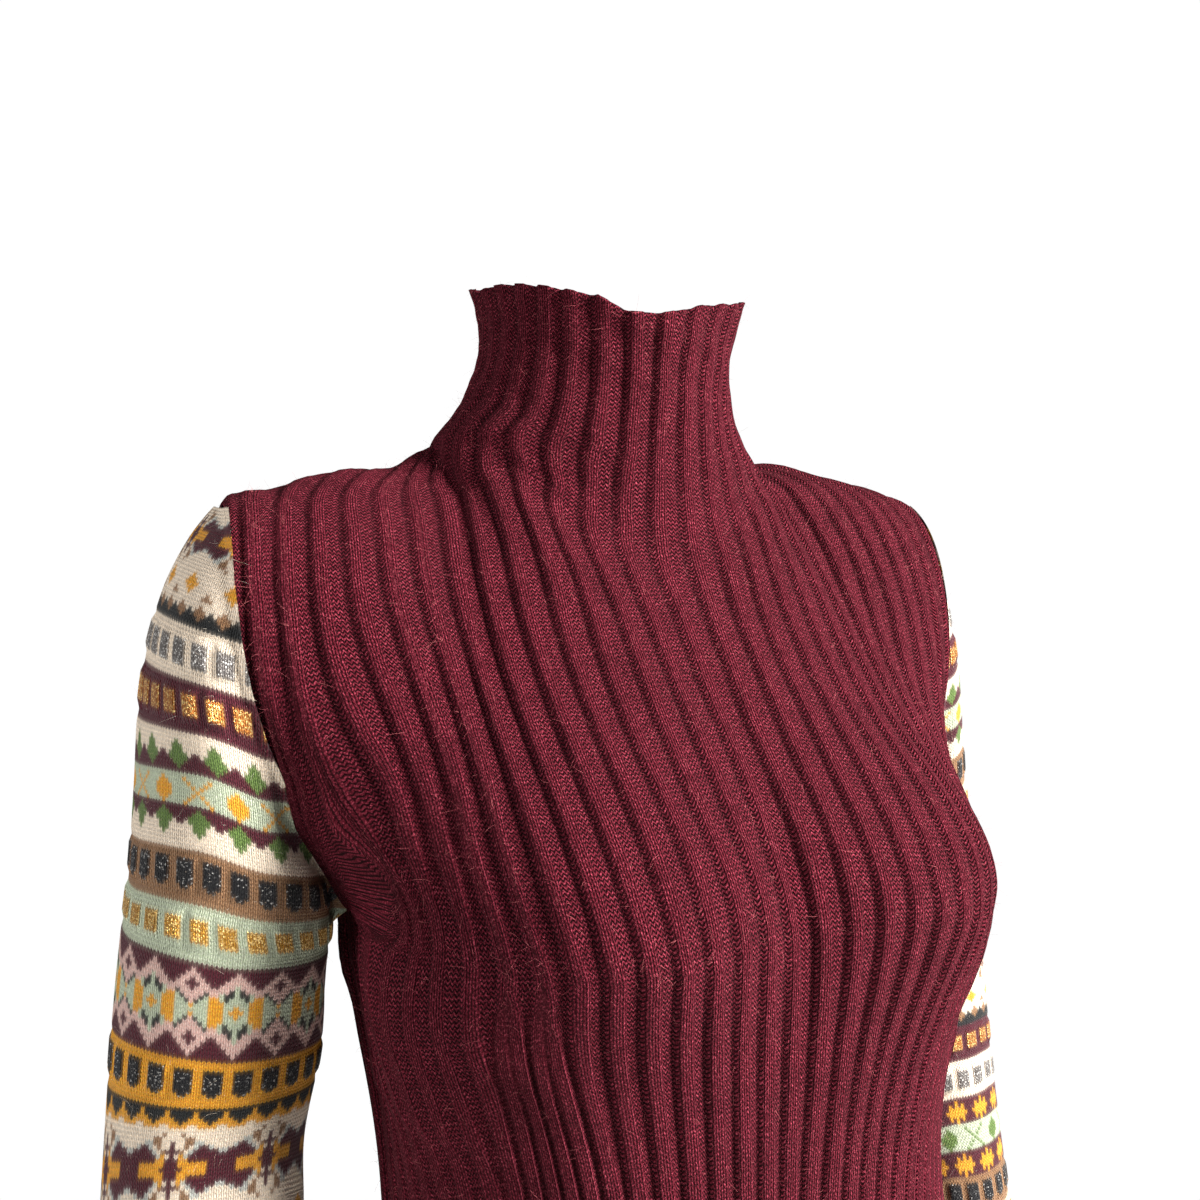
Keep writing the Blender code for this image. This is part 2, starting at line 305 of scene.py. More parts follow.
@dataclass(frozen=True)
class Form:
    """The garment's smooth middle surfaces, before ribs and creases.

    Attributes:
        fullness: How far the front's section is from round: 2 is an ellipse.
        flute_count: Skirt flutes round the hem.
        flute_turn: Where the first flute stands, in radians.
        flute_most: A flute's height at the hem.
        flute_start: The height where the flutes begin.
        shoulder_tip: The left shoulder seam's outer end.
        shoulder_arch: How far that seam arches up.
        collar_seam: The angle of the collar's side seam.
        slope_step: The step that measures the body's slope at the underarm.
        cup: A cup's place from the middle line and its height.
        cup_most: How far it stands forward.
        cup_across, cup_up: Its spread inwards and outwards, and above and below.
        fold_depth, fold_height, fold_out: Where the soft fold between cup and arm lies.
        fold_most: How far it stands out.
        edge_free: How soon the shaping dies out at the panel's edge.
        cuff_start, sleeve_end, cap_end: Places along the sleeve.
    """

    fullness: float = 2.6
    flute_count: int = 9
    flute_turn: float = 0.7
    flute_most: float = 0.006
    flute_start: float = -0.50
    shoulder_tip: tuple = (0.187, 0.030, -0.027)
    shoulder_arch: float = 0.005
    collar_seam: float = PI / 2 + PI / 12
    slope_step: float = 0.001
    cup: tuple = (0.086, -0.182)
    cup_most: float = 0.034
    cup_across: tuple = (0.068, 0.032)
    cup_up: tuple = (0.044, 0.041)
    fold_depth: Swell = Swell(-0.084, 0.035)
    fold_height: Swell = Swell(-0.212, 0.045)
    fold_out: float = 0.12
    fold_most: float = 0.022
    edge_free: float = 6.0
    cuff_start: float = 0.530
    sleeve_end: float = 0.600
    cap_end: float = 0.165

    def torso(self, height: float, angle: Array) -> Array:
        """The body's level section. The angle runs from the centre front over the left side."""
        t = read(TORSO, height)
        c = np.cos(angle)
        s = np.sin(angle)
        full = (np.abs(c) ** self.fullness + np.abs(s) ** self.fullness) ** (-1 / self.fullness)
        full = np.where(c > 0, full, 1.0)
        depth = np.where(c > 0, t["side"] - t["front"], t["back"] - t["side"])
        fall = np.clip((self.flute_start - height) / (self.flute_start - HEM), 0, 1)
        flute = self.flute_most * fall**1.5 * np.cos(self.flute_count * angle + self.flute_turn)
        x = (t["half_width"] + flute) * s * full
        return stack(x, t["side"] - (depth + flute) * c * full, height)

    def collar(self, up: float, angle: Array) -> Array:
        """The collar's ring at a share of its height."""
        t = read(COLLAR, up)
        c = np.cos(angle)
        depth = np.where(c > 0, t["middle"] - t["front"], t["back"] - t["middle"])
        end = np.where(c > 0, t["front_height"], t["back_height"])
        z = t["side_height"] + (end - t["side_height"]) * c**2
        return stack(t["half_width"] * np.sin(angle), t["middle"] - depth * c, z)

    def sleeve(self, along: Array, angle: Array) -> Array:
        """The left sleeve's rings: outer side, front, underarm line and back, at quarter turns."""
        t = read(SLEEVE, along)
        out = t["half_width"] * np.cos(angle)
        back = -t["half_depth"] * np.sin(angle)
        return stack(t["x"] + out, t["y"] + back, t["z"] + t["tilt"] * out + t["pitch"] * back)

    def with_cups(self, points: Array, across: Array) -> Array:
        """The front's shaped cups, and the soft fold of cloth between each cup and the arm."""
        x, y, z = np.moveaxis(points, -1, 0)
        side = np.abs(x) - self.cup[0]
        rise = z - self.cup[1]
        forward = self.cup_most * bell(side / np.where(side < 0, *self.cup_across))
        forward = forward * bell(rise / np.where(rise > 0, *self.cup_up))
        near = self.fold_depth.at(y) * self.fold_height.at(z)
        outward = self.fold_most * near * np.clip(np.abs(x) / self.fold_out, 0, 1) ** 2
        free = smooth(self.edge_free * (1 - across))
        return stack(x + outward * free, y - forward * free, z)


ARM = table(
    "height edge inward",
    (-0.320, 0.140, 0.0020),
    (-0.250, 0.142, 0.0030),
    (-0.235, 0.145, 0.0034),
    (-0.225, 0.148, 0.0048),
    (-0.215, 0.150, 0.0072),
    (-0.205, 0.152, 0.0098),
    (-0.198, 0.161, 0.0115),
    (-0.187, 0.168, 0.0122),
    (-0.173, 0.174, 0.0095),
    (-0.157, 0.179, 0.0045),
    (-0.139, 0.183, 0.0020),
    (-0.121, 0.185, -0.0030),
    (-0.102, 0.187, -0.0065),
    (-0.084, 0.189, -0.0085),
    (-0.060, 0.189, -0.0092),
    (-0.040, 0.188, -0.0080),
    (-0.020, 0.187, -0.0060),
    (0.010, 0.187, 0.0),
)


@dataclass(frozen=True)
class Wearing:
    """How the worn dress lies a little off the even form, a different way at each side.

    Attributes:
        far_lift: How far the wearer's left shoulder is raised.
        far_share: That lift's share at distances from the middle.
        upper: The heights over which the raised shoulders settle again.
        tip_lift: How far the right shoulder's tip is raised.
        seam_dip, dip_height: Where the right shoulder's seam sinks beside the neck.
        hole_reach: How far the armhole's draw reaches inwards and outwards.
        hole_back, hole_start: Where that draw ends at the back and begins beside the middle.
        neck_out: The bulge at the right side of the neck, by height.
        neck_start, neck_end: Where that bulge begins and ends.
        far_arm, far_arm_out: Where the left upper arm lies in.
        side_fold, fold_start, fold_end: Where the right side stands out under the arm.
        underarm: Where the right underarm is drawn up.
    """

    far_lift: float = 0.020
    far_share: tuple = ((0.085, 0.115, 0.135, 0.165, 0.190, 0.250), (0, 0.35, 0.48, 0.82, 1.0, 1.0))
    upper: Ease = Ease(-0.100, 0.085)
    tip_lift: Ease = Ease(0.165, 0.02, 0.004)
    seam_dip: Swell = Swell(0.108, 0.018, 0.0082)
    dip_height: Swell = Swell(0.0, 0.03)
    hole_reach: tuple = (0.035, 0.024)
    hole_back: Ease = Ease(0.012, 0.06)
    hole_start: Ease = Ease(0.0, 0.05)
    neck_out: tuple = (
        (-0.012, 0.012, 0.026, 0.041, 0.055, 0.070, 0.085),
        (0, 0.0126, 0.0105, 0.0100, 0.0073, 0.0034, 0),
    )
    neck_start: Ease = Ease(0.015, 0.045)
    neck_end: Ease = Ease(0.086, 0.055)
    far_arm: Swell = Swell(-0.15, 0.05, 0.0065)
    far_arm_out: Ease = Ease(0.185, 0.02)
    side_fold: Swell = Swell(-0.292, 0.020, 0.0052)
    fold_start: Ease = Ease(0.146, 0.012)
    fold_end: Ease = Ease(0.165, 0.05)
    underarm: Swell = Swell(-0.200, 0.025, 0.0060)

    def settled(self, points: Array) -> Array:
        """The points of the even form, moved to where the worn cloth lies.

        On the wearer's right the armhole is drawn in or out by its height, the neck's side bulges
        and the cloth under the arm stands out. On the left the shoulder is raised.

        Args:
            points: Points on either side of the form.

        Returns:
            The moved points.
        """
        x, y, z = np.moveaxis(points, -1, 0)
        right, left = np.maximum(-x, 0), np.maximum(x, 0)
        upper = self.upper.at(z)
        beside = right - np.interp(z, ARM["height"], ARM["edge"])
        near = bell(beside / np.where(beside < 0, *self.hole_reach)) * (1 - self.hole_back.at(y))
        inward = np.interp(z, ARM["height"], ARM["inward"]) * near * self.hole_start.at(right)
        neck = self.neck_start.at(right) * (1 - self.neck_end.at(right))
        fold = self.side_fold.at(z) * self.fold_start.at(right) * (1 - self.fold_end.at(right))
        outward = np.interp(z, *self.neck_out) * neck + fold
        arm = self.far_arm.at(z) * self.far_arm_out.at(left)
        far = np.interp(left, *self.far_share)
        rise = self.far_lift * far * upper + self.tip_lift.at(right) * upper
        rise = rise - self.seam_dip.at(right) * self.dip_height.at(z)
        rise = rise + near * self.underarm.at(z)
        return stack(x + inward - outward - arm, y, z + rise)


@dataclass(frozen=True)
class Crease:
    """One crease in the worn cloth, at a given place.

    Attributes:
        x, z: Its middle.
        slant: Its lean from upright, in degrees.
        length, width: How far it runs each way, and how far it spreads.
        rise: How high its ridge stands.
    """

    x: float
    z: float
    slant: float
    length: float
    width: float
    rise: float

    def height(self, x: Array, z: Array) -> Array:
        """How far the crease lifts each place: a ridge with a furrow along one side."""
        turn = np.radians(self.slant)
        along = (x - self.x) * np.sin(turn) + (z - self.z) * np.cos(turn)
        beside = (x - self.x) * np.cos(turn) - (z - self.z) * np.sin(turn)
        ridge = bell(beside / self.width) - 0.6 * bell(beside / self.width + 1.6)
        return self.rise * bell(along / self.length) * ridge


CREASES: dict[str, tuple[Crease, ...]] = {
    "front": (
        Crease(-0.120, -0.236, -52, 0.020, 0.0055, 0.0016),
        Crease(-0.129, -0.268, -64, 0.018, 0.0050, 0.0014),
        Crease(0.121, -0.238, 50, 0.022, 0.0055, 0.0018),
        Crease(0.130, -0.272, 67, 0.018, 0.0050, 0.0014),
        Crease(-0.119, -0.412, 76, 0.030, 0.0070, 0.0020),
        Crease(0.112, -0.424, -71, 0.034, 0.0075, 0.0022),
        Crease(-0.110, -0.452, 69, 0.024, 0.0070, 0.0016),
        Crease(0.118, -0.463, -80, 0.024, 0.0065, 0.0016),
        Crease(-0.118, -0.715, 7, 0.150, 0.0150, 0.0042),
        Crease(-0.032, -0.815, 1, 0.095, 0.0165, 0.0030),
        Crease(0.052, -0.765, -4, 0.130, 0.0180, 0.0036),
        Crease(0.137, -0.705, -9, 0.145, 0.0150, 0.0042),
    ),
    "back": (
        Crease(-0.118, -0.244, -48, 0.026, 0.0060, 0.0022),
        Crease(0.120, -0.252, 55, 0.024, 0.0060, 0.0020),
        Crease(-0.045, -0.392, 72, 0.044, 0.0075, 0.0024),
        Crease(0.052, -0.404, -74, 0.040, 0.0080, 0.0026),
        Crease(-0.085, -0.428, 66, 0.032, 0.0070, 0.0020),
        Crease(0.096, -0.436, -68, 0.030, 0.0070, 0.0020),
        Crease(0.010, -0.446, 84, 0.036, 0.0070, 0.0018),
        Crease(-0.120, -0.725, 8, 0.150, 0.0155, 0.0044),
        Crease(-0.040, -0.775, 3, 0.120, 0.0180, 0.0036),
        Crease(0.038, -0.820, -2, 0.095, 0.0160, 0.0030),
        Crease(0.125, -0.710, -8, 0.150, 0.0155, 0.0042),
    ),
    "sleeve": (
        Crease(0.104, -0.332, 68, 0.021, 0.0055, 0.0015),
        Crease(-0.096, -0.346, -66, 0.024, 0.0060, 0.0016),
        Crease(0.112, -0.372, 76, 0.020, 0.0055, 0.0014),
        Crease(-0.110, -0.384, -74, 0.020, 0.0055, 0.0014),
        Crease(-0.044, -0.452, 78, 0.028, 0.0060, 0.0014),
        Crease(0.052, -0.492, 80, 0.026, 0.0055, 0.0016),
        Crease(-0.060, -0.506, -76, 0.026, 0.0055, 0.0016),
        Crease(0.110, -0.515, 72, 0.020, 0.0055, 0.0014),
    ),
}


@dataclass(frozen=True)
class HalfPanel:
    """The left half of the front or the back, from its centre line (0) to its edge (1).

    Attributes:
        panel: Which panel it is.
        form: The garment's form.
    """

    panel: Panel
    form: Form = Form()

    @property
    def centre(self) -> float:
        """The angle of the panel's centre line."""
        return 0.0 if self.panel is Panel.FRONT else PI

    @property
    def neck(self) -> float:
        """The share of the top row that goes into the collar."""
        return 0.50 if self.panel is Panel.FRONT else 0.44

    def shaped(self, points: Array, across: Array) -> Array:
        """The points with the front's cups, where this is the front."""
        return self.form.with_cups(points, across) if self.panel is Panel.FRONT else points

    def angles(self, height: float, across: Array) -> Array:
        """Where the columns cross a level section."""

        def section(angle: Array) -> Array:
            """The section with its cups."""
            return self.shaped(self.form.torso(height, angle), np.abs(angle - self.centre) / (PI / 2))

        return evenly(section, self.centre, PI / 2, across)

    def level(self, height: float, across: Array) -> Array:
        """A level row, from the hem up to the underarms."""
        return self.shaped(self.form.torso(height, self.angles(height, across)), across)

    def ring(self, up: float, across: Array) -> Array:
        """A row of the collar. The columns past the neck's share stop at the collar's seam."""
        parts = np.clip(across / self.neck, 0, 1)
        angles = evenly(lambda angle: self.form.collar(up, angle), self.centre, self.form.collar_seam, parts)
        return self.form.collar(up, angles)

    def top(self, across: Array) -> Array:
        """The neckline, then the shoulder seam out to its tip."""
        corner = self.form.collar(0.0, self.form.collar_seam)
        out = np.clip((across - self.neck) / (1 - self.neck), 0, 1)[:, None]
        seam = corner + (np.array(self.form.shoulder_tip) - corner) * out
        seam[:, 2:] += self.form.shoulder_arch * 4 * out * (1 - out)
        return np.where(out > 0, seam, self.ring(0.0, across))

    def above(self, rise: float, across: Array) -> Array:
        """A row of the yoke, from the underarms (0) to the neckline and shoulder seams (1)."""
        t = read(YOKE[self.panel], across)
        angles = self.angles(UNDERARM, across)
        low = self.form.torso(UNDERARM, angles)
        slope = (low - self.form.torso(UNDERARM - self.form.slope_step, angles)) / self.form.slope_step
        leave = low + slope * t["leave"][:, None] + stack(t["out"], t["forward"], 0 * t["out"])
        arrive = stack(t["x"], t["y"], t["z"])
        return self.shaped(bezier(low, leave, arrive, self.top(across), rise), across)


@dataclass(frozen=True)
class Fork:
    """A place where one rib divides in two, going down.

    Attributes:
        rib: The rib that divides, counted from the centre line among those that reach the top.
        run: The row where it divides (see RibbedPanel.rows).
        opening: How far below it the new furrow is fully open, in metres.
        spread: How far aside it pushes the other ribs at most, as a share of the row.
    """

    rib: int
    run: float
    opening: float
    spread: float


@dataclass(frozen=True)
class Rib:
    """The rib's cross-section.

    Attributes:
        width: The raised knit group's width.
        height: How far it stands above the furrow.
        floor: The furrow's height over the cloth's middle surface.
        knit_stitches: Wales in the raised group.
        purl_stitches: Wales in the furrow.
        course: The height of one course of stitches.
        foot: The slope's width at each side of the group, as a share of the repeat.
        shelf: The purl stitches' height beside the group, as a share of the rib's.
        groove: How far the furrow's far side lies below its floor.
        lip: How far the group's last wale stands above its first.
        turn: The place in the repeat where the next group's foot begins.
    """

    width: float = 0.0070
    height: float = 0.0022
    floor: float = -0.0006
    knit_stitches: int = 3
    purl_stitches: int = 4
    course: float = 0.00195
    foot: float = 0.085
    shelf: float = 0.60
    groove: float = 0.45
    lip: float = 0.16
    turn: float = 0.9

    def share(self, pitch: Array) -> Array:
        """The raised group's share of a repeat of this pitch."""
        return np.clip(self.width / np.maximum(pitch, 1e-6), 0.46, 0.74)

    def profile(self, place: Array, share: Array) -> Array:
        """The relief across one repeat.

        Args:
            place: Place in the repeat, from 0 at the raised group's first foot to 1.
            share: The raised group's share of the repeat.

        Returns:
            The height above the furrow, from about 0 to 1.
        """
        rise = smooth(place / self.foot + 0.35)
        following = smooth((place - 1) / self.foot + 0.35)
        down = smooth((place - share) / self.foot + 0.5)
        knit = 1 + self.lip * smooth(4.0 * place / share - 3.0)
        knit = knit + 0.05 * np.sin(PI * np.clip(place / share, 0, 1))
        between = np.clip((place - share) / (1 - share), 0, 1)
        purl = self.shelf * (1 - between**2.2) - self.groove * between**4
        body = rise * (knit * (1 - down) + purl * down)
        return np.where(place > self.turn, np.maximum(purl, following), body)

    def wales(self, count: Array, share: Array) -> Array:
        """The stitch column at a place among the ribs, as the stitches' pattern counts them."""
        repeat = np.floor(count)
        place = count - repeat
        knit = self.knit_stitches * place / share
        purl = self.knit_stitches + self.purl_stitches * (place - share) / (1 - share)
        return repeat * (self.knit_stitches + self.purl_stitches) + np.where(place < share, knit, purl)


@contextmanager
def reshaped(mesh: bpy.types.Mesh) -> Iterator[bmesh.types.BMesh]:
    """Opens a mesh to bmesh's operators, and writes what they made back to it."""
    sheet = bmesh.new()
    sheet.from_mesh(mesh)
    yield sheet
    sheet.to_mesh(mesh)
    sheet.free()


def grid_mesh(name: str, points: Array, uvs: Array) -> bpy.types.Mesh:
    """Makes a grid and moves its vertices to these points.

    Args:
        name: The mesh's name.
        points: Rows of points.
        uvs: A UV place for each point.

    Returns:
        The mesh, with the UV map "Stitches" and each vertex's place kept in "Cell".
    """
    rows, columns = points.shape[:2]
    mesh = bpy.data.meshes.new(name)
    with reshaped(mesh) as sheet:
        bmesh.ops.create_grid(sheet, x_segments=columns - 1, y_segments=rows - 1, size=1)
    flat = np.empty(len(mesh.vertices) * 3)
    mesh.vertices.foreach_get("co", flat)
    flat = flat.reshape(-1, 3)
    column = np.rint((flat[:, 0] + 1) * (columns - 1) / 2).astype(int)
    row = np.rint((flat[:, 1] + 1) * (rows - 1) / 2).astype(int)
    mesh.vertices.foreach_set("co", points[row, column].ravel())
    cell = mesh.attributes.new("Cell", "INT", "POINT")
    cell.data.foreach_set("value", row * columns + column)
    corner = np.empty(len(mesh.loops), int)
    mesh.loops.foreach_get("vertex_index", corner)
    layer = mesh.uv_layers.new(name="Stitches")
    layer.data.foreach_set("uv", uvs[row, column][corner].ravel())
    return mesh


def cells(mesh: bpy.types.Mesh, columns: int) -> tuple[Array, Array]:
    """The row and column that each vertex of a grid came from."""
    place = np.empty(len(mesh.vertices), int)
    mesh.attributes["Cell"].data.foreach_get("value", place)
    return np.divmod(place, columns)


def at_corners(stitches: Array) -> Array:
    """The mean of the stitches about each vertex of a grid that has two columns to a stitch."""
    wide = np.repeat(stitches, 2, axis=1)
    wide = np.pad(wide, [(1, 1), (1, 1)] + [(0, 0)] * (wide.ndim - 2), mode="edge")
    return (wide[:-1, :-1] + wide[1:, :-1] + wide[:-1, 1:] + wide[1:, 1:]) / 4


def keep_relief(mesh: bpy.types.Mesh, relief: Array) -> None:
    """Keeps the rib's relief at each vertex, for the finish to read."""
    mesh.attributes.new("Relief", "FLOAT", "POINT").data.foreach_set("value", relief)


def close_up(mesh: bpy.types.Mesh, near: float, turn_over: bool, doomed: Union[Array, None] = None) -> None:
    """Drops some vertices of a mesh, merges its doubles and turns its faces outwards.

    Args:
        mesh: The mesh.
        near: How near two vertices are to be merged.
        turn_over: Whether its faces point inwards.
        doomed: The places of the vertices to drop.
    """
    with reshaped(mesh) as sheet:
        if doomed is not None:
            sheet.verts.ensure_lookup_table()
            bmesh.ops.delete(sheet, geom=[sheet.verts[place] for place in doomed], context="VERTS")
        bmesh.ops.remove_doubles(sheet, verts=sheet.verts, dist=near)
        if turn_over:
            bmesh.ops.reverse_faces(sheet, faces=sheet.faces[:])


def thicken(piece: bpy.types.Object, wall: float) -> None:
    """Gives a piece the cloth's thickness, inwards."""
    solid = piece.modifiers.new("Wall", "SOLIDIFY")
    solid.thickness = wall
    solid.offset = -1.0


def in_scene(name: str, data: bpy.types.ID) -> bpy.types.Object:
    """Puts a mesh, a lamp or a camera in the scene as an object."""
    thing = bpy.data.objects.new(name, data)
    bpy.context.scene.collection.objects.link(thing)
    return thing


def add_piece(name: str, mesh: bpy.types.Mesh, slot: Slot, node: Union[str, None] = None) -> bpy.types.Object:
    """Puts a mesh in the scene as a piece that rides on the dress.

    Args:
        name: The piece's name.
        mesh: Its mesh, in place.
        slot: The material slot meant for its finish. It is not used.
        node: The node that it replaces, if it stands for one.

    Returns:
        The piece.
    """
    piece = in_scene(name, mesh)
    mesh.shade_smooth()
    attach(piece, "root")
    if node:
        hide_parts(node)
    LOG.info("%s: %d faces", name, len(mesh.polygons))
    return piece


PANEL_CUT = {Panel.FRONT: ((0.62, 1.04), 0.50), Panel.BACK: ((0.58, 1.04), 0.46)}


@dataclass
class RibbedPanel:
    """The front or the back: skirt, body, yoke and its part of the collar, knitted in one.

    Rows run from the hem (0) to the underarms (1), the shoulders (2) and the collar's rim (3).

    Attributes:
        panel: Which panel it is.
        rib: The rib's cross-section.
        wall: The cloth's thickness.
        columns_per_rib: Columns of the mesh in each rib.
        skirt_rows, waist_rows, yoke_rows, collar_rows: Rows of the mesh in each part.
        waist: Height of the waist.
        yoke_length: The yoke's length up the cloth.
        yoke_spread, yoke_out: Where the yoke's ribs spread out, by row and across it.
        even_body: The rows, downwards, over which the body's ribs turn even.
        gathered, eased: Where the ribs draw together to the neck, and give way below it.
        side_seam, collar_seam: The turned edges at the side, and up the collar's side.
        shoulder_seam, shoulder_in: The turned edge along the shoulder, by row and from the neck.
        seam_tuck: How far the cloth turns in at a seam.
        seam_flat: How much of its relief the cloth loses at a seam.
        shoulder_flat, neck_flat: Where the ribs flatten along the shoulder and the collar's foot.
        neck_ease: How far out from the neck the shoulder's flat starts.
        flat_relief: The relief of flattened ribs.
        corner, tip_drop, edge_drop: Where the shoulder's tip and its edge lie lower.
        rim, rim_step: Where the ribs stand over the furrows at the collar's rim, and how far.
        rim_start: Where the rim's wave begins.
        samples: Places across a row of the smooth form.
        hairs: How many loose hairs it has.
    """

    panel: Panel
    rib: Rib = Rib()
    wall: float = 0.0014
    columns_per_rib: int = 10
    skirt_rows: int = 24
    waist_rows: int = 34
    yoke_rows: int = 50
    collar_rows: int = 28
    waist: float = -0.40
    yoke_length: float = 0.21
    yoke_spread: Ease = Ease(1.0, 0.67)
    yoke_out: Ease = Ease(0.70, 0.26)
    even_body: Ease = Ease(1.07, -0.12)
    gathered: Ease = Ease(1.80, 0.20)
    eased: Swell = Swell(1.87, 0.08, 0.3)
    side_seam: Ease = Ease(0.985, 0.015)
    collar_seam: Ease = Ease(0.97, 0.03)
    shoulder_seam: Ease = Ease(1.96, 0.04)
    shoulder_in: float = 0.02
    seam_tuck: float = 0.0009
    seam_flat: float = 0.6
    shoulder_flat: Swell = Swell(2.0, 0.14, 0.72)
    neck_flat: Swell = Swell(2.02, 0.10, 0.30)
    neck_ease: float = 0.06
    flat_relief: float = 0.8
    corner: Ease = Ease(1.86, 0.12)
    tip_drop: Ease = Ease(0.82, 0.12, 0.0014)
    edge_drop: Ease = Ease(0.97, 0.03, 0.0016)
    rim: Ease = Ease(2.8, 0.2)
    rim_step: float = 0.0010
    rim_start: Ease = Ease(2.45, 0.55)
    samples: int = 601
    hairs: int = 9000

    def __post_init__(self) -> None:
        """Works out the rib counts, forks and rows."""
        self.half = HalfPanel(self.panel)
        front = self.panel is Panel.FRONT
        self.top_ribs = 14.0 if front else 12.5
        self.neck_ribs = 8.8 if front else 7.4
        yoke = [(12, 0.19), (13, 0.45), (13, 0.30), (13, 0.07)]
        if not front:
            yoke = [(10, 0.22), (11, 0.50), (11, 0.38), (11, 0.14), (11, 0.06)]
        self.low_ribs = self.top_ribs + len(yoke)
        self.yoke_forks = [Fork(rib, 1 + rise, 0.012, 0.10) for rib, rise in yoke]
        self.waist_forks = [Fork(8, 0.992, 0.060, 0.24), Fork(9, 0.990, 0.060, 0.24)]
        self.edge_ribs = self.low_ribs + len(self.waist_forks)
        self.collar_columns: dict[int, int] = {}
        skirt = np.linspace(HEM, self.waist, self.skirt_rows + 1)
        waist = np.linspace(self.waist, UNDERARM, self.waist_rows + 1)[1:]
        body = (np.concatenate([skirt, waist]) - HEM) / (UNDERARM - HEM)
        yoke_runs = 1 + np.linspace(0, 1, self.yoke_rows + 1)[1:]
        collar = 2 + np.linspace(0, 1, self.collar_rows + 1)[1:]
        self.rows = np.concatenate([body, yoke_runs, collar])
        self.body_count = len(body) + len(yoke_runs)

    def row_points(self, run: float, across: Array) -> Array:
        """The left half's points in a row of the smooth form."""
        if run <= 1:
            return self.half.level(HEM + run * (UNDERARM - HEM), across)
        if run <= 2:
            return self.half.above(run - 1, across)
        return self.half.ring(run - 2, across)

    def below(self, fork: Fork, run: float) -> float:
        """How far a row is below a fork, in metres."""
        up = np.array([0, 1, 2, 3])
        length = np.array([0, UNDERARM - HEM, UNDERARM - HEM + self.yoke_length, 1.1])
        return float(np.interp(fork.run, up, length) - np.interp(run, up, length))

    def count(self, run: float, across: Array, side: int) -> tuple[Array, Array, Array]:
        """Counts the ribs from the centre line.

        Args:
            run: The row.
            across: Places in it, in order.
            side: 1 for the wearer's left, -1 for the right.

        Returns:
            The count with the forks' ribs, the count of the ribs that are there in this row, and
            how far each place is filled by a rib that has only begun to divide.
        """
        lost = len(self.yoke_forks) * (1 - self.yoke_spread.at(run))
        total = (self.top_ribs + lost) * across - lost * self.yoke_out.at(across)
        total = total + self.gathering(run, across)
        there = total.copy()
        fill = np.zeros_like(across)
        for forks in (self.yoke_forks, self.waist_forks):
            for added, fork in enumerate(forks):
                divides = self.divides(fork, added, side)
                below = self.below(fork, run)
                if below <= 0:
                    total = total + (total > divides)
                    continue
                centre = float(np.interp(divides, total, across))
                wide = min(0.010 + 1.3 * below, fork.spread, 1 - centre)
                step = smooth((across - centre) / (2 * wide) + 0.5)
                total = total + step
                there = there + step
                inside = smooth(4 * (1 - np.abs(total - divides - 0.5) / 0.62))
                fill = np.maximum(fill, inside * (1 - smooth(below / fork.opening)))
            if forks is self.yoke_forks:
                even = self.even_body.at(run)
                total = total + (self.low_ribs * across - total) * even
                there = there + (self.low_ribs * across - there) * even
        return total, there, fill

    def divides(self, fork: Fork, added: int, side: int) -> float:
        """The count at the middle of a dividing rib, among the forks of its own kind."""
        return fork.rib + added + (-0.24 if side > 0 else 0.24)

    def gathering(self, run: float, across: Array) -> Array:
        """How many more ribs lie inside a place near the neck than an even row would have.

        Args:
            run: The row.
            across: Places in it.

        Returns:
            The extra count at each place.
        """
        neck = self.half.neck
        extra = self.neck_ribs - self.top_ribs * neck
        power = np.interp(run, (1.8, 2.0, 2.25), (6.0, 4.0, 0.8))
        inside = np.clip(across / neck, 0, 1)
        drawn = np.where(across <= neck, inside ** (1 + power), (1 - across) / (1 - neck))
        spread = self.eased.at(run) * np.sin(PI * np.clip(across / 0.9, 0, 1))
        return extra * drawn * self.gathered.at(run) - spread * (run < 2)

    def tuck(self, run: float, across: Array) -> Array:
        """How far the cloth turns in at the seams, from 0 to 1."""
        if run > 2:
            return self.collar_seam.at(across / self.half.neck)
        shoulder = self.shoulder_seam.at(run) * smooth((across - self.half.neck) / self.shoulder_in)
        return np.maximum(self.side_seam.at(across), shoulder)

    def relief(self, count: Array, share: Array, fill: Array, side: int) -> Array:
        """The outer surface's height over the middle surface, before seams.

        Args:
            count: Ribs from the centre line.
            share: The raised groups' share of the repeat.
            fill: How far each place is filled by a rib that has only begun to divide.
            side: 1 for the wearer's left, -1 for the right.

        Returns:
            The height, as a share of the rib's.
        """
        place = (side * count - 0.5) % 1.0
        bare = self.rib.profile(place, share)
        knit = self.rib.profile(share / 2, share)
        return bare + (knit - bare) * fill

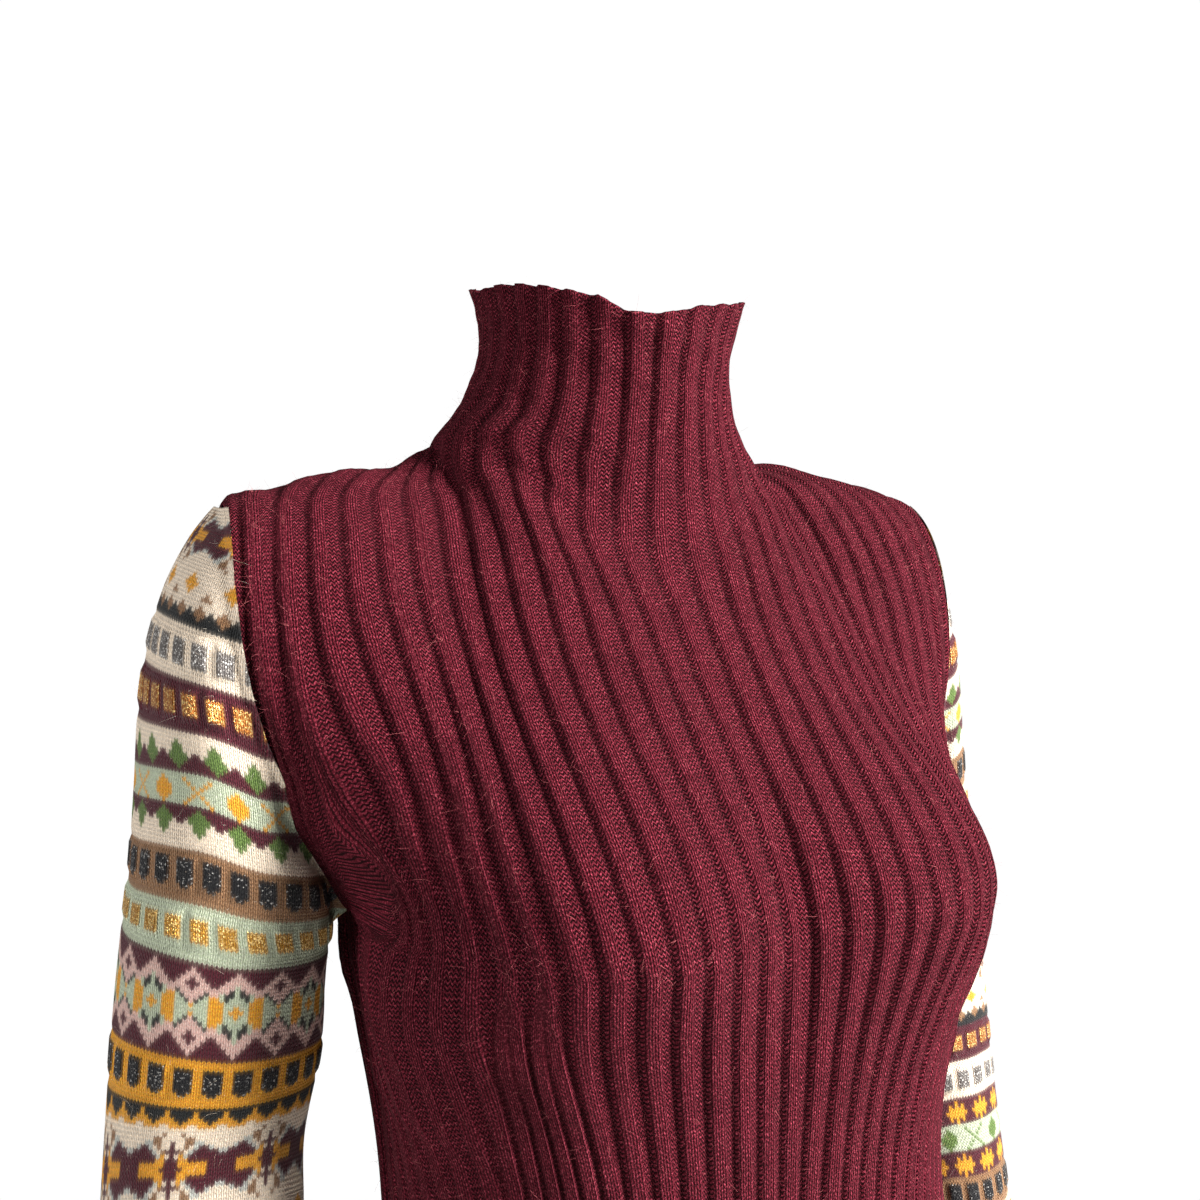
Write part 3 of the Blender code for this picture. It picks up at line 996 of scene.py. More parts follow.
    def half_grid(self, side: int) -> tuple[Array, Array, Array]:
        """One half's points on their own side, UV places and relief, from the centre to the edge.

        Args:
            side: 1 for the wearer's left, -1 for the right.

        Returns:
            Points, UVs and relief, one row for each of the panel's rows.
        """
        fine = np.linspace(0, 1, self.samples)
        columns = int(round(self.edge_ribs * self.columns_per_rib))
        wanted = np.linspace(0, self.edge_ribs, columns + 1)
        smooth_points = self.soften_neck(np.array([self.row_points(run, fine) for run in self.rows]), fine)
        mirror = np.array([side, 1, 1])
        smooth_points = Wearing().settled(smooth_points * mirror) * mirror
        points, uvs, reliefs = [], [], []
        self.collar_columns[side] = 0
        for run, row, normal in zip(self.rows, smooth_points, self.normals(smooth_points, fine)):
            total, there, fill = self.count(run, fine, side)
            if run > 2:
                last = int(np.ceil(np.interp(self.half.neck, fine, total) * self.columns_per_rib))
                self.collar_columns[side] = max(self.collar_columns[side], last)
            across = np.interp(wanted, total, fine)
            share = self.rib.share(np.interp(across, fine, self.pitch(row, there, fine)))
            at = read_line(across, fine, row)
            out = read_line(across, fine, normal)
            filled = np.interp(across, fine, fill)
            for fork_start in self.closed_forks(run, side):
                filled = np.where((wanted >= fork_start) & (wanted <= fork_start + 1), 1.0, filled)
            high = self.relief(wanted, share, filled, side)
            placed = at + out * self.raised(run, across, high, at, side)[:, None]
            if run > 2.4:
                wave = self.rim_wave(run, placed * mirror)
                placed[:, 2] += wave + self.rim_step * (high - 0.6) * self.rim.at(run)
            points.append(placed)
            reliefs.append(high)
            uvs.append(self.rib.wales(side * wanted - 0.5, share))
        points = np.array(points)
        return points * mirror, np.stack([np.array(uvs), self.courses(points)], -1), np.array(reliefs)

    def normals(self, points: Array, across: Array) -> Array:
        """The outward normals of the smooth rows, shared where the body turns into the collar."""
        body = grid_normals(points[: self.body_count])
        neck = grid_normals(points[self.body_count - 1 :])
        body[-1] = np.where((across <= self.half.neck)[:, None], body[-1] + neck[0], body[-1])
        normals = np.concatenate([body, neck[1:]])
        outward = 1 if self.panel is Panel.FRONT else -1
        return normals * (outward / np.maximum(np.linalg.norm(normals, axis=-1, keepdims=True), 1e-9))

    def pitch(self, row: Array, there: Array, across: Array) -> Array:
        """The ribs' pitch along a row, in metres, evened out over a few places.

        Args:
            row: The row's points.
            there: The count of the ribs in it, from the centre line.
            across: The places in it.

        Returns:
            The pitch at each place.
        """
        length = np.linalg.norm(np.gradient(row, across, axis=0), axis=1)
        pitch = length / np.maximum(np.gradient(there, across), 1e-3)
        return running_mean(pitch, 25)

    def courses(self, points: Array) -> Array:
        """The count of courses from the hem up to each point."""
        return np.array([running_mean(row, 11) for row in run_along(points) / self.rib.course])

    def raised(self, run: float, across: Array, high: Array, at: Array, side: int) -> Array:
        """How far the outer surface stands off the smooth form along a row.

        Args:
            run: The row.
            across: Places in it.
            high: The ribs' relief there.
            at: The smooth form's points there, on the left half.
            side: 1 for the wearer's left, -1 for the right.

        Returns:
            The height at each place, in metres.
        """
        flat = self.shoulder_flat.at(run) * smooth((across - self.half.neck) / self.neck_ease)
        flat = np.maximum(flat, self.neck_flat.at(run))
        raised = self.rib.floor + self.rib.height * (high + (self.flat_relief - high) * flat)
        raised = raised + self.unevenness(run, across * side)
        raised = raised + sum(one.height(side * at[:, 0], at[:, 2]) for one in CREASES[self.panel.value])
        tuck = self.tuck(run, across)
        raised = raised * (1 - self.seam_flat * tuck) - self.seam_tuck * tuck
        drop = self.tip_drop.at(across) + self.edge_drop.at(across)
        return raised - self.corner.at(run) * (run <= 2) * drop

    def soften_neck(self, points: Array, across: Array) -> Array:
        """Rounds the turn where the body flows up into the collar.

        Args:
            points: The smooth form's rows.
            across: The places in them.

        Returns:
            The rounded rows.
        """
        neck = self.body_count - 1
        rows = np.arange(len(points))
        share = bell((rows - neck) / 4.5)[:, None] * smooth((self.half.neck - across) / 0.10)[None, :]
        soft = points
        for _ in range(3):
            padded = np.pad(soft, ((3, 3), (0, 0), (0, 0)), mode="edge")
            soft = sum(padded[step : step + len(points)] for step in range(7)) / 7
        return points + (soft - points) * share[..., None]

    def closed_forks(self, run: float, side: int) -> list[float]:
        """The rib counts where the columns of forks further down lie closed together."""
        starts = []
        for forks, more in ((self.yoke_forks, len(self.waist_forks)), (self.waist_forks, 0)):
            closed = [(added, fork) for added, fork in enumerate(forks) if self.below(fork, run) <= 0]
            starts += [self.divides(fork, added, side) + more for added, fork in closed]
        return starts

    def rim_wave(self, run: float, points: Array) -> Array:
        """How far the collar's free edge waves up and down, in metres.

        Args:
            run: The row.
            points: Its points, on their own side.

        Returns:
            The rise at each point.
        """
        angle = np.degrees(np.arctan2(points[:, 0], 0.017 - points[:, 1]))
        turns = (-180, -135, -112, -92, -70, -48, -35, -22, -5, 12, 30, 60, 100, 180)
        rises = (0.0, 0.0, -1.0, -6.5, -5.0, -2.5, -1.0, -4.5, -1.5, 3.5, 4.5, 3.0, 0.0, 0.0)
        return 0.001 * np.interp(angle, turns, rises) * self.rim_start.at(run)

    def unevenness(self, run: float, across: Array) -> Array:
        """Soft swells that keep the cloth from looking drawn with a ruler, in metres."""
        seed = 3 if self.panel is Panel.FRONT else 4
        return 0.0005 * ripple(across * 3.0, np.full_like(across, run * 4.0), seed)

    def build(self) -> bpy.types.Object:
        """Builds the panel.

        Returns:
            The piece, as a closed wall of cloth.
        """
        halves = zip(self.half_grid(-1), self.half_grid(1))
        points, uvs, relief = (np.concatenate([right[:, :0:-1], left], axis=1) for right, left in halves)
        mesh = grid_mesh(self.panel.value, points, uvs)
        columns = points.shape[1]
        row, column = cells(mesh, columns)
        keep_relief(mesh, relief[row, column])
        middle = columns // 2
        reach = np.where(column > middle, self.collar_columns[1], self.collar_columns[-1])
        beyond = (row >= self.body_count) & (np.abs(column - middle) > reach)
        close_up(mesh, PANEL_MERGE, self.panel is Panel.BACK, np.flatnonzero(beyond))
        piece = add_piece(f"{self.panel.value}_knit", mesh, Slot.RIBBED, self.panel.value)
        thicken(piece, self.wall)
        return piece

    def dress(self, piece: bpy.types.Object, wool: bpy.types.Material, hair: bpy.types.Material) -> None:
        """Gives the panel its finish and its loose hairs.

        Args:
            piece: The panel.
            wool: Its finish.
            hair: Its hairs' finish.
        """
        flat, area = PANEL_CUT[self.panel]
        piece.data.materials.append(wool)
        Fluff(piece, Slot.RIBBED, hair, count=self.hairs, seed=len(self.panel.value)).build()


class Yarn(Enum):
    """The sleeves' yarns, by their letter in the charts. Capitals are metallic thread."""

    CREAM = "c"
    YELLOW = "y"
    CAMEL = "k"
    MINT = "m"
    GREEN = "g"
    BLACK = "b"
    BURGUNDY = "r"
    PINK = "p"
    ICE = "i"
    GOLD = "G"
    COPPER = "C"
    SILVER = "S"
    JET = "J"


YARN_COLOURS = {
    Yarn.CREAM: (0.96, 0.83, 0.68),
    Yarn.YELLOW: (0.86, 0.43, 0.030),
    Yarn.CAMEL: (0.36, 0.20, 0.100),
    Yarn.MINT: (0.60, 0.66, 0.50),
    Yarn.GREEN: (0.155, 0.250, 0.060),
    Yarn.BLACK: (0.012, 0.014, 0.015),
    Yarn.BURGUNDY: (0.105, 0.011, 0.024),
    Yarn.PINK: (0.80, 0.56, 0.50),
    Yarn.ICE: (0.60, 0.62, 0.58),
    Yarn.GOLD: (0.56, 0.29, 0.035),
    Yarn.COPPER: (0.54, 0.21, 0.035),
    Yarn.SILVER: (0.20, 0.18, 0.17),
    Yarn.JET: (0.006, 0.006, 0.009),
}

METALLIC = {Yarn.GOLD: 1.0, Yarn.COPPER: 1.0, Yarn.SILVER: 0.70, Yarn.JET: 0.30}


@dataclass(frozen=True)
class Band:
    """A band of the sleeve's pattern.

    Attributes:
        chart: The stitches of one repeat, one string for each course, from the top.
        depth: The band's height along the sleeve, in metres.
        start: The stitch where a repeat begins, counted from the sleeve's outer line.
        ladder: Whether it is a ladder, with long stitches standing over recessed blocks.
    """

    chart: tuple[str, ...]
    depth: float
    start: int = 0
    ladder: bool = False


def mirrored_across(*halves: str) -> tuple[str, ...]:
    """Chart rows from their left halves, with the last stitch as the middle one."""
    return tuple(half + half[-2::-1] for half in halves)


def mirrored_down(*rows: str) -> tuple[str, ...]:
    """A chart from its upper half, with the last row as the middle one."""
    return rows + rows[-2::-1]


def ladder(base: str, block: str, depth: float, start: int, inner: tuple[int, int] = (0, 0)) -> Band:
    """A ladder: blocks four stitches wide between bars of two.

    Args:
        base: The bars' and borders' letter.
        block: The blocks' letter.
        depth: The band's height.
        start: The stitch where a repeat begins.
        inner: Rows of the base yarn inside each block, above and below.

    Returns:
        The band.
    """
    end = base + block * 4 + base if block != "J" else base * 2 + block * 2 + base * 2
    rows = [base * 6] * 2 + [base + block * 4 + base] * 6 + [end] + [base * 6] * 3
    for row in [*range(2, 2 + inner[0]), *range(9 - inner[1], 9)]:
        rows[row] = base * 6
    return Band(tuple(rows), depth, start, True)


PEAKS_DOWN = ("bbbbbb", "ybbbbb", "ybbbbb", "yybbby", "yyybyy", "cyyyyc")
PEAKS_UP = ("kccccc", "kkcbck", "kkbbbk", "kbbbbb", "bbbbbb", "bbbbbb")
DIAMONDS = (
    "ccccccccc",
    "ccccccccc",
    "ccccgcccc",
    "cccgggccc",
    "cccgggccc",
    "rcgggggcr",
    "rrgggggrr",
    "rrrgggrrr",
    "rrrrgrrrr",
    "rrrrrrrrr",
)
CROSSES = (
    "mmmmmmmmmmmmmmmmmm",
    "mmmmymmmmmymmmmmym",
    "mmmyyymmmmmymmmymm",
    "mmyyyyymmmmmymymmm",
    "mmyyyyymmmmmmymmmm",
    "mmyyyyymmmmmymymmm",
    "mmmyyymmmmmymmmymm",
    "mmmmymmmmmymmmmmym",
)
ZIGZAG = mirrored_down(
    "rrrrrrrrrrrrrrrrrr",
    "rrrrprrrrrrrrprrrr",
    "rrrppprrrrrrppprrr",
    "rrppppprrrrpprpprr",
    "rpppmppprrpprrrppr",
    "pppbmbpppppppr" + "pppp",
    "pmbbmbbmppbpppppbp",
    "ymbmmmbmyymbpppbmy",
    "yymmmmmyyymmbpbmmy",
    "yymmymmyyymmmymmmy",
    "yymyyymyyymmmmmmmy",
)
HEXAGONS = mirrored_down(
    *mirrored_across(
        "ccccccccccc",
        "cccccccckcc",
        "cccccckkccc",
        "cccciikkccr",
        "ccirrickccr",
        "irrrrrickrr",
        "rrrrrrriycr",
        "rrrrrrryyrr",
        "rrryyyyyyrr",
        "rrryyyyyrrr",
    )
)
SPOTS = (
    "cccccccccccc",
    "ccccccyccccc",
    "cccccyyycccc",
    "ccccyyyyyccc",
    "cccccyyycccc",
    "kcccccyccccc",
    "kkccccccccck",
    "cccccccccccc",
)
STARS = (
    "rrrrrrrrr",
    "rrrryrrrr",
    "rryryryrr",
    "rryyyyyrr",
    "ryyyyyyyr",
    "rryyyyyrr",
    "rryryryrr",
    "rrrryrrrr",
)
SPRIGS = tuple(row.replace("y", "g") for row in CROSSES)
PATTERN = (
    Band(HEXAGONS, 0.0275),
    Band(SPOTS, 0.0140, 3),
    Band(PEAKS_UP, 0.0094, 2),
    ladder("c", "S", 0.0220, 1, (1, 0)),
    ladder("r", "C", 0.0230, 4, (1, 1)),
    Band(DIAMONDS, 0.0177, 7),
    Band(CROSSES, 0.0143, 11),
    Band(DIAMONDS[::-1] + DIAMONDS[:1], 0.0190, 11),
    ladder("k", "J", 0.0200, 6),
    ladder("m", "G", 0.0187, 4, (1, 1)),
    Band(ZIGZAG, 0.0388, 11),
    ladder("y", "J", 0.0210, 3),
    Band(PEAKS_DOWN, 0.0100, 3),
    Band(HEXAGONS, 0.0400, 13),
    Band(SPOTS, 0.0100, 3),
    Band(PEAKS_UP, 0.0090, 2),
    ladder("r", "C", 0.0190, 2, (1, 1)),
    ladder("c", "S", 0.0200, 1, (1, 0)),
    Band(STARS, 0.0145, 3),
    Band(SPRIGS, 0.0145, 7),
    Band(STARS, 0.0145, 3),
    ladder("k", "J", 0.0205, 3),
    ladder("m", "G", 0.0195, 3, (1, 1)),
    Band(ZIGZAG, 0.0360, 6),
    ladder("y", "J", 0.0210, 2),
    Band(PEAKS_DOWN, 0.0100, 2),
    Band(HEXAGONS, 0.0380, 6),
    Band(("cccccc",), 0.0400),
)
PATTERN_TOP = -0.0265

TILT = table(
    "height rise",
    (-0.40, 0.05),
    (-0.30, 0.08),
    (-0.25, 0.20),
    (-0.20, 0.25),
    (-0.15, 0.28),
    (-0.05, 0.30),
)


@dataclass
class BandedSleeve:
    """A sleeve in stocking stitch, its bands set by the charts.

    Attributes:
        side: Which arm it covers.
        form: The garment's form.
        stitches: Stitches round it below the underarm.
        course: A course's usual height.
        seam_tuck: How far the edges turn in at a seam.
        tuck_reach: How wide the turned edge is.
        flush: How far round the shoulder's tip the edge lies level with the panels.
        underlap: How far the cap runs in under the panels' edges, as a share of their width.
        cap_pull: The cap's fullness, as a share of its length.
        recess: How far a ladder's blocks lie back.
        bar: How far its bars and borders stand out.
        haze: How far the yarns' fluff blends one stitch's colour into the next.
        leave_top, leave_under: Which way the cap leaves the armhole at its tip and underarm.
        arrive_from: Which way the cap comes down on to the sleeve.
        start_width: The width of the cap's first stitches.
        hairs: How many loose hairs it has.
        follow: How far the bands follow a raised shoulder.
        arm_line: The line, out from the body, about which the courses tilt.
        inner_ease: How much less they tilt on the inner side, low down.
        front_face: Where the front begins, and how far on it is full.
        elbow, bicep, cap_lift: Where the courses ride up on the front.
        back_cap, back_fall: Where they fall towards the back, for each metre.
        armhole, armhole_in: Where they rise beside the armhole's front.
        low, low_drop: Where they lie lower, below the underarm, and by how much.
        outer, outer_drop: The same, over the outer side and the back.
        settle: Where, along the sleeve, they come level again.
    """

    side: Side
    form: Form = Form()
    stitches: int = 144
    course: float = 0.00177
    seam_tuck: float = 0.0024
    tuck_reach: float = 0.006
    flush: float = 0.014
    underlap: float = 0.016
    cap_pull: float = 0.38
    recess: float = 0.0006
    bar: float = 0.0005
    haze: float = 0.45
    leave_top: tuple = (0.67, 0, -0.74)
    leave_under: tuple = (0.20, 0.05, -0.98)
    arrive_from: tuple = (-0.10, 0, 0.99)
    start_width: float = 0.0018
    hairs: int = 4500
    follow: float = 0.9
    arm_line: float = 0.20
    inner_ease: Ease = Ease(-0.185, -0.02, 0.4)
    front_face: tuple = (0.01, 0.045)
    elbow: Ease = Ease(-0.24, -0.06, 0.018)
    bicep: Swell = Swell(-0.238, 0.018, 0.0020)
    cap_lift: Swell = Swell(-0.168, 0.03, 0.0085)
    back_cap: Ease = Ease(-0.13, 0.05, 0.12)
    back_fall: Swell = Swell(-0.19, 0.03, 0.10)
    armhole: Swell = Swell(-0.145, 0.027, 0.0072)
    armhole_in: Ease = Ease(0.212, -0.028)
    low: Ease = Ease(-0.205, -0.025)
    low_drop: float = 0.0036
    outer: Ease = Ease(-0.135, -0.02)
    outer_drop: float = 0.0034
    settle: Ease = Ease(0.72, 0.2)

    def surface(self) -> tuple[Array, Array]:
        """The left sleeve's smooth surface.

        Returns:
            Points in rows from the armhole to the cuff, in columns from the underarm line by the
            back, the outer line and the front to the underarm line again, and their normals.
        """
        rises = np.linspace(1, 0, 181)
        edges = 1 - self.underlap * smooth(rises / 0.2)[:, None]
        halves = [HalfPanel(panel, self.form) for panel in Panel]
        front, back = (np.array([half.above(*place)[0] for place in zip(rises, edges)]) for half in halves)
        start = np.concatenate([back[::-1], front[1:]])
        angle = np.linspace(-PI, PI, len(start))
        end = self.form.sleeve(self.form.cap_end, angle)
        reach = self.cap_pull * np.linalg.norm(end - start, axis=1)[:, None]
        top = (1 + np.cos(angle))[:, None] / 2
        leave = start + reach * (top * np.array(self.leave_top) + (1 - top) * np.array(self.leave_under))
        arrive = end + reach * np.array(self.arrive_from)
        cap = [bezier(start, leave, arrive, end, share) for share in np.linspace(0, 1, 81)]
        along = np.linspace(self.form.cap_end, self.form.cuff_start, 221)[1:]
        points = np.array(cap + [self.form.sleeve(step, angle) for step in along])
        mirror = np.array([self.side.value, 1, 1])
        points = Wearing().settled(points * mirror) * mirror
        lift = sum(one.height(0.04 * angle * self.side.value, points[..., 2]) for one in CREASES["sleeve"])
        points = points - grid_normals(points) * lift[..., None]
        return points, -grid_normals(points)

    def levels(self, points: Array) -> Array:
        """How far down the pattern each point lies: the height of its course, in metres.

        The courses rise towards the body, because the arm hangs out from it. On the front they
        ride up over the elbow, dip at the back of the cap, and run level again at the cuff.

        Args:
            points: The smooth surface's points.

        Returns:
            Each point's level. No column's levels rise on their way down.
        """
        x, y, z = np.moveaxis(points, -1, 0)
        if self.side is Side.LEFT:
            z = z - self.follow * Wearing().far_lift
        tilt = np.interp(z, TILT["height"], TILT["rise"])
        tilt = tilt * np.where(x < self.arm_line, 1 - self.inner_ease.at(z), 1.0)
        start, width = self.front_face
        front = np.clip((start - y) / width, 0, 1)
        lift = self.elbow.at(z) + self.cap_lift.at(z) + self.bicep.at(z)
        fall = self.back_cap.at(z) * y + self.back_fall.at(z) * np.maximum(y, 0)
        seam = self.armhole.at(z) * self.armhole_in.at(x) * front
        low = self.low.at(z)
        outer = self.outer_drop * (1 - front) * self.outer.at(z) * (1 - low)
        level = z - tilt * (x - self.arm_line) - lift * front - fall + seam - self.low_drop * low - outer
        rows = np.linspace(0, 1, len(points))[:, None]
        even = np.broadcast_to(level.mean(axis=1)[:, None], level.shape)
        level = level + (even - level) * self.settle.at(rows)
        return -np.maximum.accumulate(-level, axis=0)

    def chart(self) -> tuple[Array, Array, Array]:
        """Lays the pattern's bands on the sleeve.

        Returns:
            The level where each course begins, the yarn letters by course and stitch, and how far
            each stitch stands out.
        """
        starts, letters, heights = [], [], []
        level = PATTERN_TOP
        stitch = np.arange(self.stitches)
        for band in PATTERN:
            rows = np.array([list(row) for row in band.chart])
            plain = len(rows) == 1
            step = self.course if plain else band.depth / len(rows)
            place = (stitch - self.stitches // 2 - band.start) % rows.shape[1]
            for row in range(int(band.depth / self.course) if plain else len(rows)):
                block = (place >= 1) & (place <= 4) & (2 <= row <= 8)
                starts.append(level)
                letters.append(rows[row % len(rows), place])
                heights.append(np.where(block, -self.recess, self.bar) if band.ladder else 0.0 * stitch)
                level -= step
        return np.array(starts), np.array(letters), np.array(heights)

    def course_row(self, level: float, cloth: Array, levels: Array) -> Array:
        """Places the stitch edges and middles along one course.

        Args:
            level: The course's level.
            cloth: The smooth surface's points, normals and distances from the armhole.
            levels: Its levels.

        Returns:
            The cloth at each place, from the underarm by the back round to the underarm.
        """
        middle = cloth.shape[1] // 2
        halves = []
        for way in (-1, 1):
            columns = middle + way * np.arange(middle + 1)
            shown = level <= levels[0, columns]
            count = len(columns) if shown.all() else int(np.argmin(shown))
            crossed = []
            for column in columns[:count]:
                place = np.interp(-level, -levels[:, column], np.arange(len(levels)))
                low = min(int(place), len(levels) - 2)
                share = place - low
                crossed.append(cloth[low, column] * (1 - share) + cloth[low + 1, column] * share)
            if count < len(columns):
                last, beyond = columns[max(count - 1, 0)], columns[count]
                rise = levels[0, beyond] - levels[0, last]
                share = 0.0 if rise == 0 else np.clip((level - levels[0, last]) / rise, 0, 1)
                crossed.append(cloth[0, last] * (1 - share) + cloth[0, beyond] * share)
            row = np.array(crossed)
            run = run_along(row[:, :3])
            width = run[-1] / self.stitches if count == len(columns) else self.width[way] / 2
            self.width[way] = 2 * width
            halves.append(read_line(np.minimum(np.arange(self.stitches + 1) * width, run[-1]), run, row))
        back, front = halves
        return np.concatenate([back[:0:-1], front])

    def build(self) -> bpy.types.Object:
        """Builds the sleeve.

        Returns:
            The piece.
        """
        points, normals = self.surface()
        levels = self.levels(points)
        cloth = np.concatenate([points, normals, run_along(points)[..., None]], axis=-1)
        starts, letters, heights = self.chart()
        top, bottom = levels.max(), levels.min()
        shown = (starts < top + self.course) & (starts > bottom)
        starts, letters, heights = starts[shown], letters[shown], heights[shown]
        self.width = {-1: self.start_width, 1: self.start_width}
        edges = np.append(starts, bottom)
        middles = np.append((edges[1:] + edges[:-1]) / 2, bottom)
        rows = np.array([self.course_row(level, cloth, levels) for level in edges[::-1]])
        between = np.array([self.course_row(level, cloth, levels) for level in middles[::-1]])
        odd = np.arange(rows.shape[1]) % 2 == 1
        rows[:, odd] = between[:, odd]
        grid, out, depth = rows[..., :3], rows[..., 3:6], rows[..., 6]
        stood = at_corners(heights[::-1])
        tuck = 1 - smooth(depth / self.tuck_reach)
        tuck = np.maximum(tuck, smooth((np.arange(len(grid)) * self.course) / -self.tuck_reach + 1)[:, None])
        tip = bell(np.linalg.norm(grid - points[0, points.shape[1] // 2], axis=-1) / self.flush)
        grid = grid + out * (stood * (1 - tuck) - self.seam_tuck * tuck * (1 - 0.95 * tip))[..., None]
        grid[..., 0] *= self.side.value
        uvs = np.stack(np.meshgrid(np.arange(grid.shape[1]) / 2.0, np.arange(len(grid)) * 1.0), -1)
        uvs[:, odd, 1] -= 0.5
        name = f"sleeve_{self.side.word}"
        mesh = grid_mesh(name, grid, uvs)
        self.paint(mesh, letters[::-1], grid.shape[1])
        close_up(mesh, TUBE_MERGE, self.side is Side.RIGHT)
        return add_piece(f"{name}_knit", mesh, Slot.PATTERNED, name)

    def dress(self, piece: bpy.types.Object, wool: bpy.types.Material, hair: bpy.types.Material) -> None:
        """Gives the sleeve its finish and its loose hairs.

        Args:
            piece: The sleeve.
            wool: Its finish.
            hair: Its hairs' finish.
        """
        piece.data.materials.append(wool)
        Fluff(piece, Slot.PATTERNED, hair, count=self.hairs, seed=20 + self.side.value).build()

    def paint(self, mesh: bpy.types.Mesh, letters: Array, columns: int) -> None:
        """Gives each stitch its yarn's colour, and marks the metallic ones.

        Args:
            mesh: The sleeve's mesh, still a whole grid.
            letters: The yarns by course from the cuff up, and by stitch.
            columns: The grid's columns.
        """
        corner = np.empty(len(mesh.loops), int)
        mesh.loops.foreach_get("vertex_index", corner)
        row, column = (place[corner] for place in cells(mesh, columns))
        stitch = row.reshape(-1, 4).min(axis=1), column.reshape(-1, 4).min(axis=1) // 2
        dyes = {yarn.value: YARN_COLOURS[yarn] for yarn in Yarn}
        dyed = np.array([[dyes[letter] for letter in course] for course in letters])
        own = np.repeat(dyed[stitch], 4, axis=0)
        mixed = own + self.haze * (at_corners(dyed)[row, column] - own)
        colours = np.concatenate([mixed, np.ones((len(own), 1))], axis=1)
        yarn = mesh.color_attributes.new("Yarn", "FLOAT_COLOR", "CORNER")
        yarn.data.foreach_set("color", colours.ravel())
        shine = {yarn.value: METALLIC.get(yarn, 0.0) for yarn in Yarn}
        bright = np.array([shine[letter] for letter in letters[stitch]])
        metallic = mesh.attributes.new("Metallic", "FLOAT", "CORNER")
        metallic.data.foreach_set("value", np.repeat(bright, 4))


@dataclass
class RibbedCuff:
    """A plain ribbed cuff.

    Attributes:
        side: Which arm it ends.
        form: The garment's form.
        rib: The rib's cross-section.
        ribs: Ribs round it.
        columns_per_rib: Columns of the mesh in each rib.
        rows: Rows of the mesh.
        wall: The cloth's thickness.
        tuck: How far its upper edge turns in.
    """

    side: Side
    form: Form = Form()
    rib: Rib = Rib()
    ribs: int = 18
    columns_per_rib: int = 12
    rows: int = 24
    wall: float = 0.0014
    tuck: float = 0.0022

    def build(self) -> bpy.types.Object:
        """Builds the cuff.

        Returns:
            The piece.
        """
        count = np.linspace(0, self.ribs, self.ribs * self.columns_per_rib + 1)
        angle = -PI + 2 * PI * count / self.ribs
        along = np.linspace(self.form.sleeve_end, self.form.cuff_start, self.rows + 1)
        points = np.array([self.form.sleeve(step, angle) for step in along])
        out = grid_normals(points)
        out[:, 0] = out[:, -1] = (out[:, 0] + out[:, -1]) / 2
        share = np.full(count.shape, 0.55)
        high = self.rib.profile(count % 1.0, share)
        tuck = smooth((along - self.form.cuff_start) / -0.005 + 1)[:, None]
        raised = self.rib.floor + self.rib.height * 0.8 * high
        points = points + out * (raised * (1 - tuck) - self.tuck * tuck)[..., None]
        points[..., 0] *= self.side.value
        course = (self.form.sleeve_end - along) / self.rib.course
        wales = np.broadcast_to(self.rib.wales(count, share), points.shape[:2])
        uvs = np.stack([wales, np.broadcast_to(course[:, None], points.shape[:2])], -1)
        name = f"cuff_{self.side.word}"
        mesh = grid_mesh(name, points, uvs)
        _, column = cells(mesh, points.shape[1])
        keep_relief(mesh, high[column])
        close_up(mesh, TUBE_MERGE, self.side is Side.RIGHT)
        piece = add_piece(f"{name}_knit", mesh, Slot.RIBBED, name)
        thicken(piece, self.wall)
        return piece

    def dress(self, piece: bpy.types.Object, wool: bpy.types.Material) -> None:
        """Gives the cuff its finish."""
        piece.data.materials.append(wool)


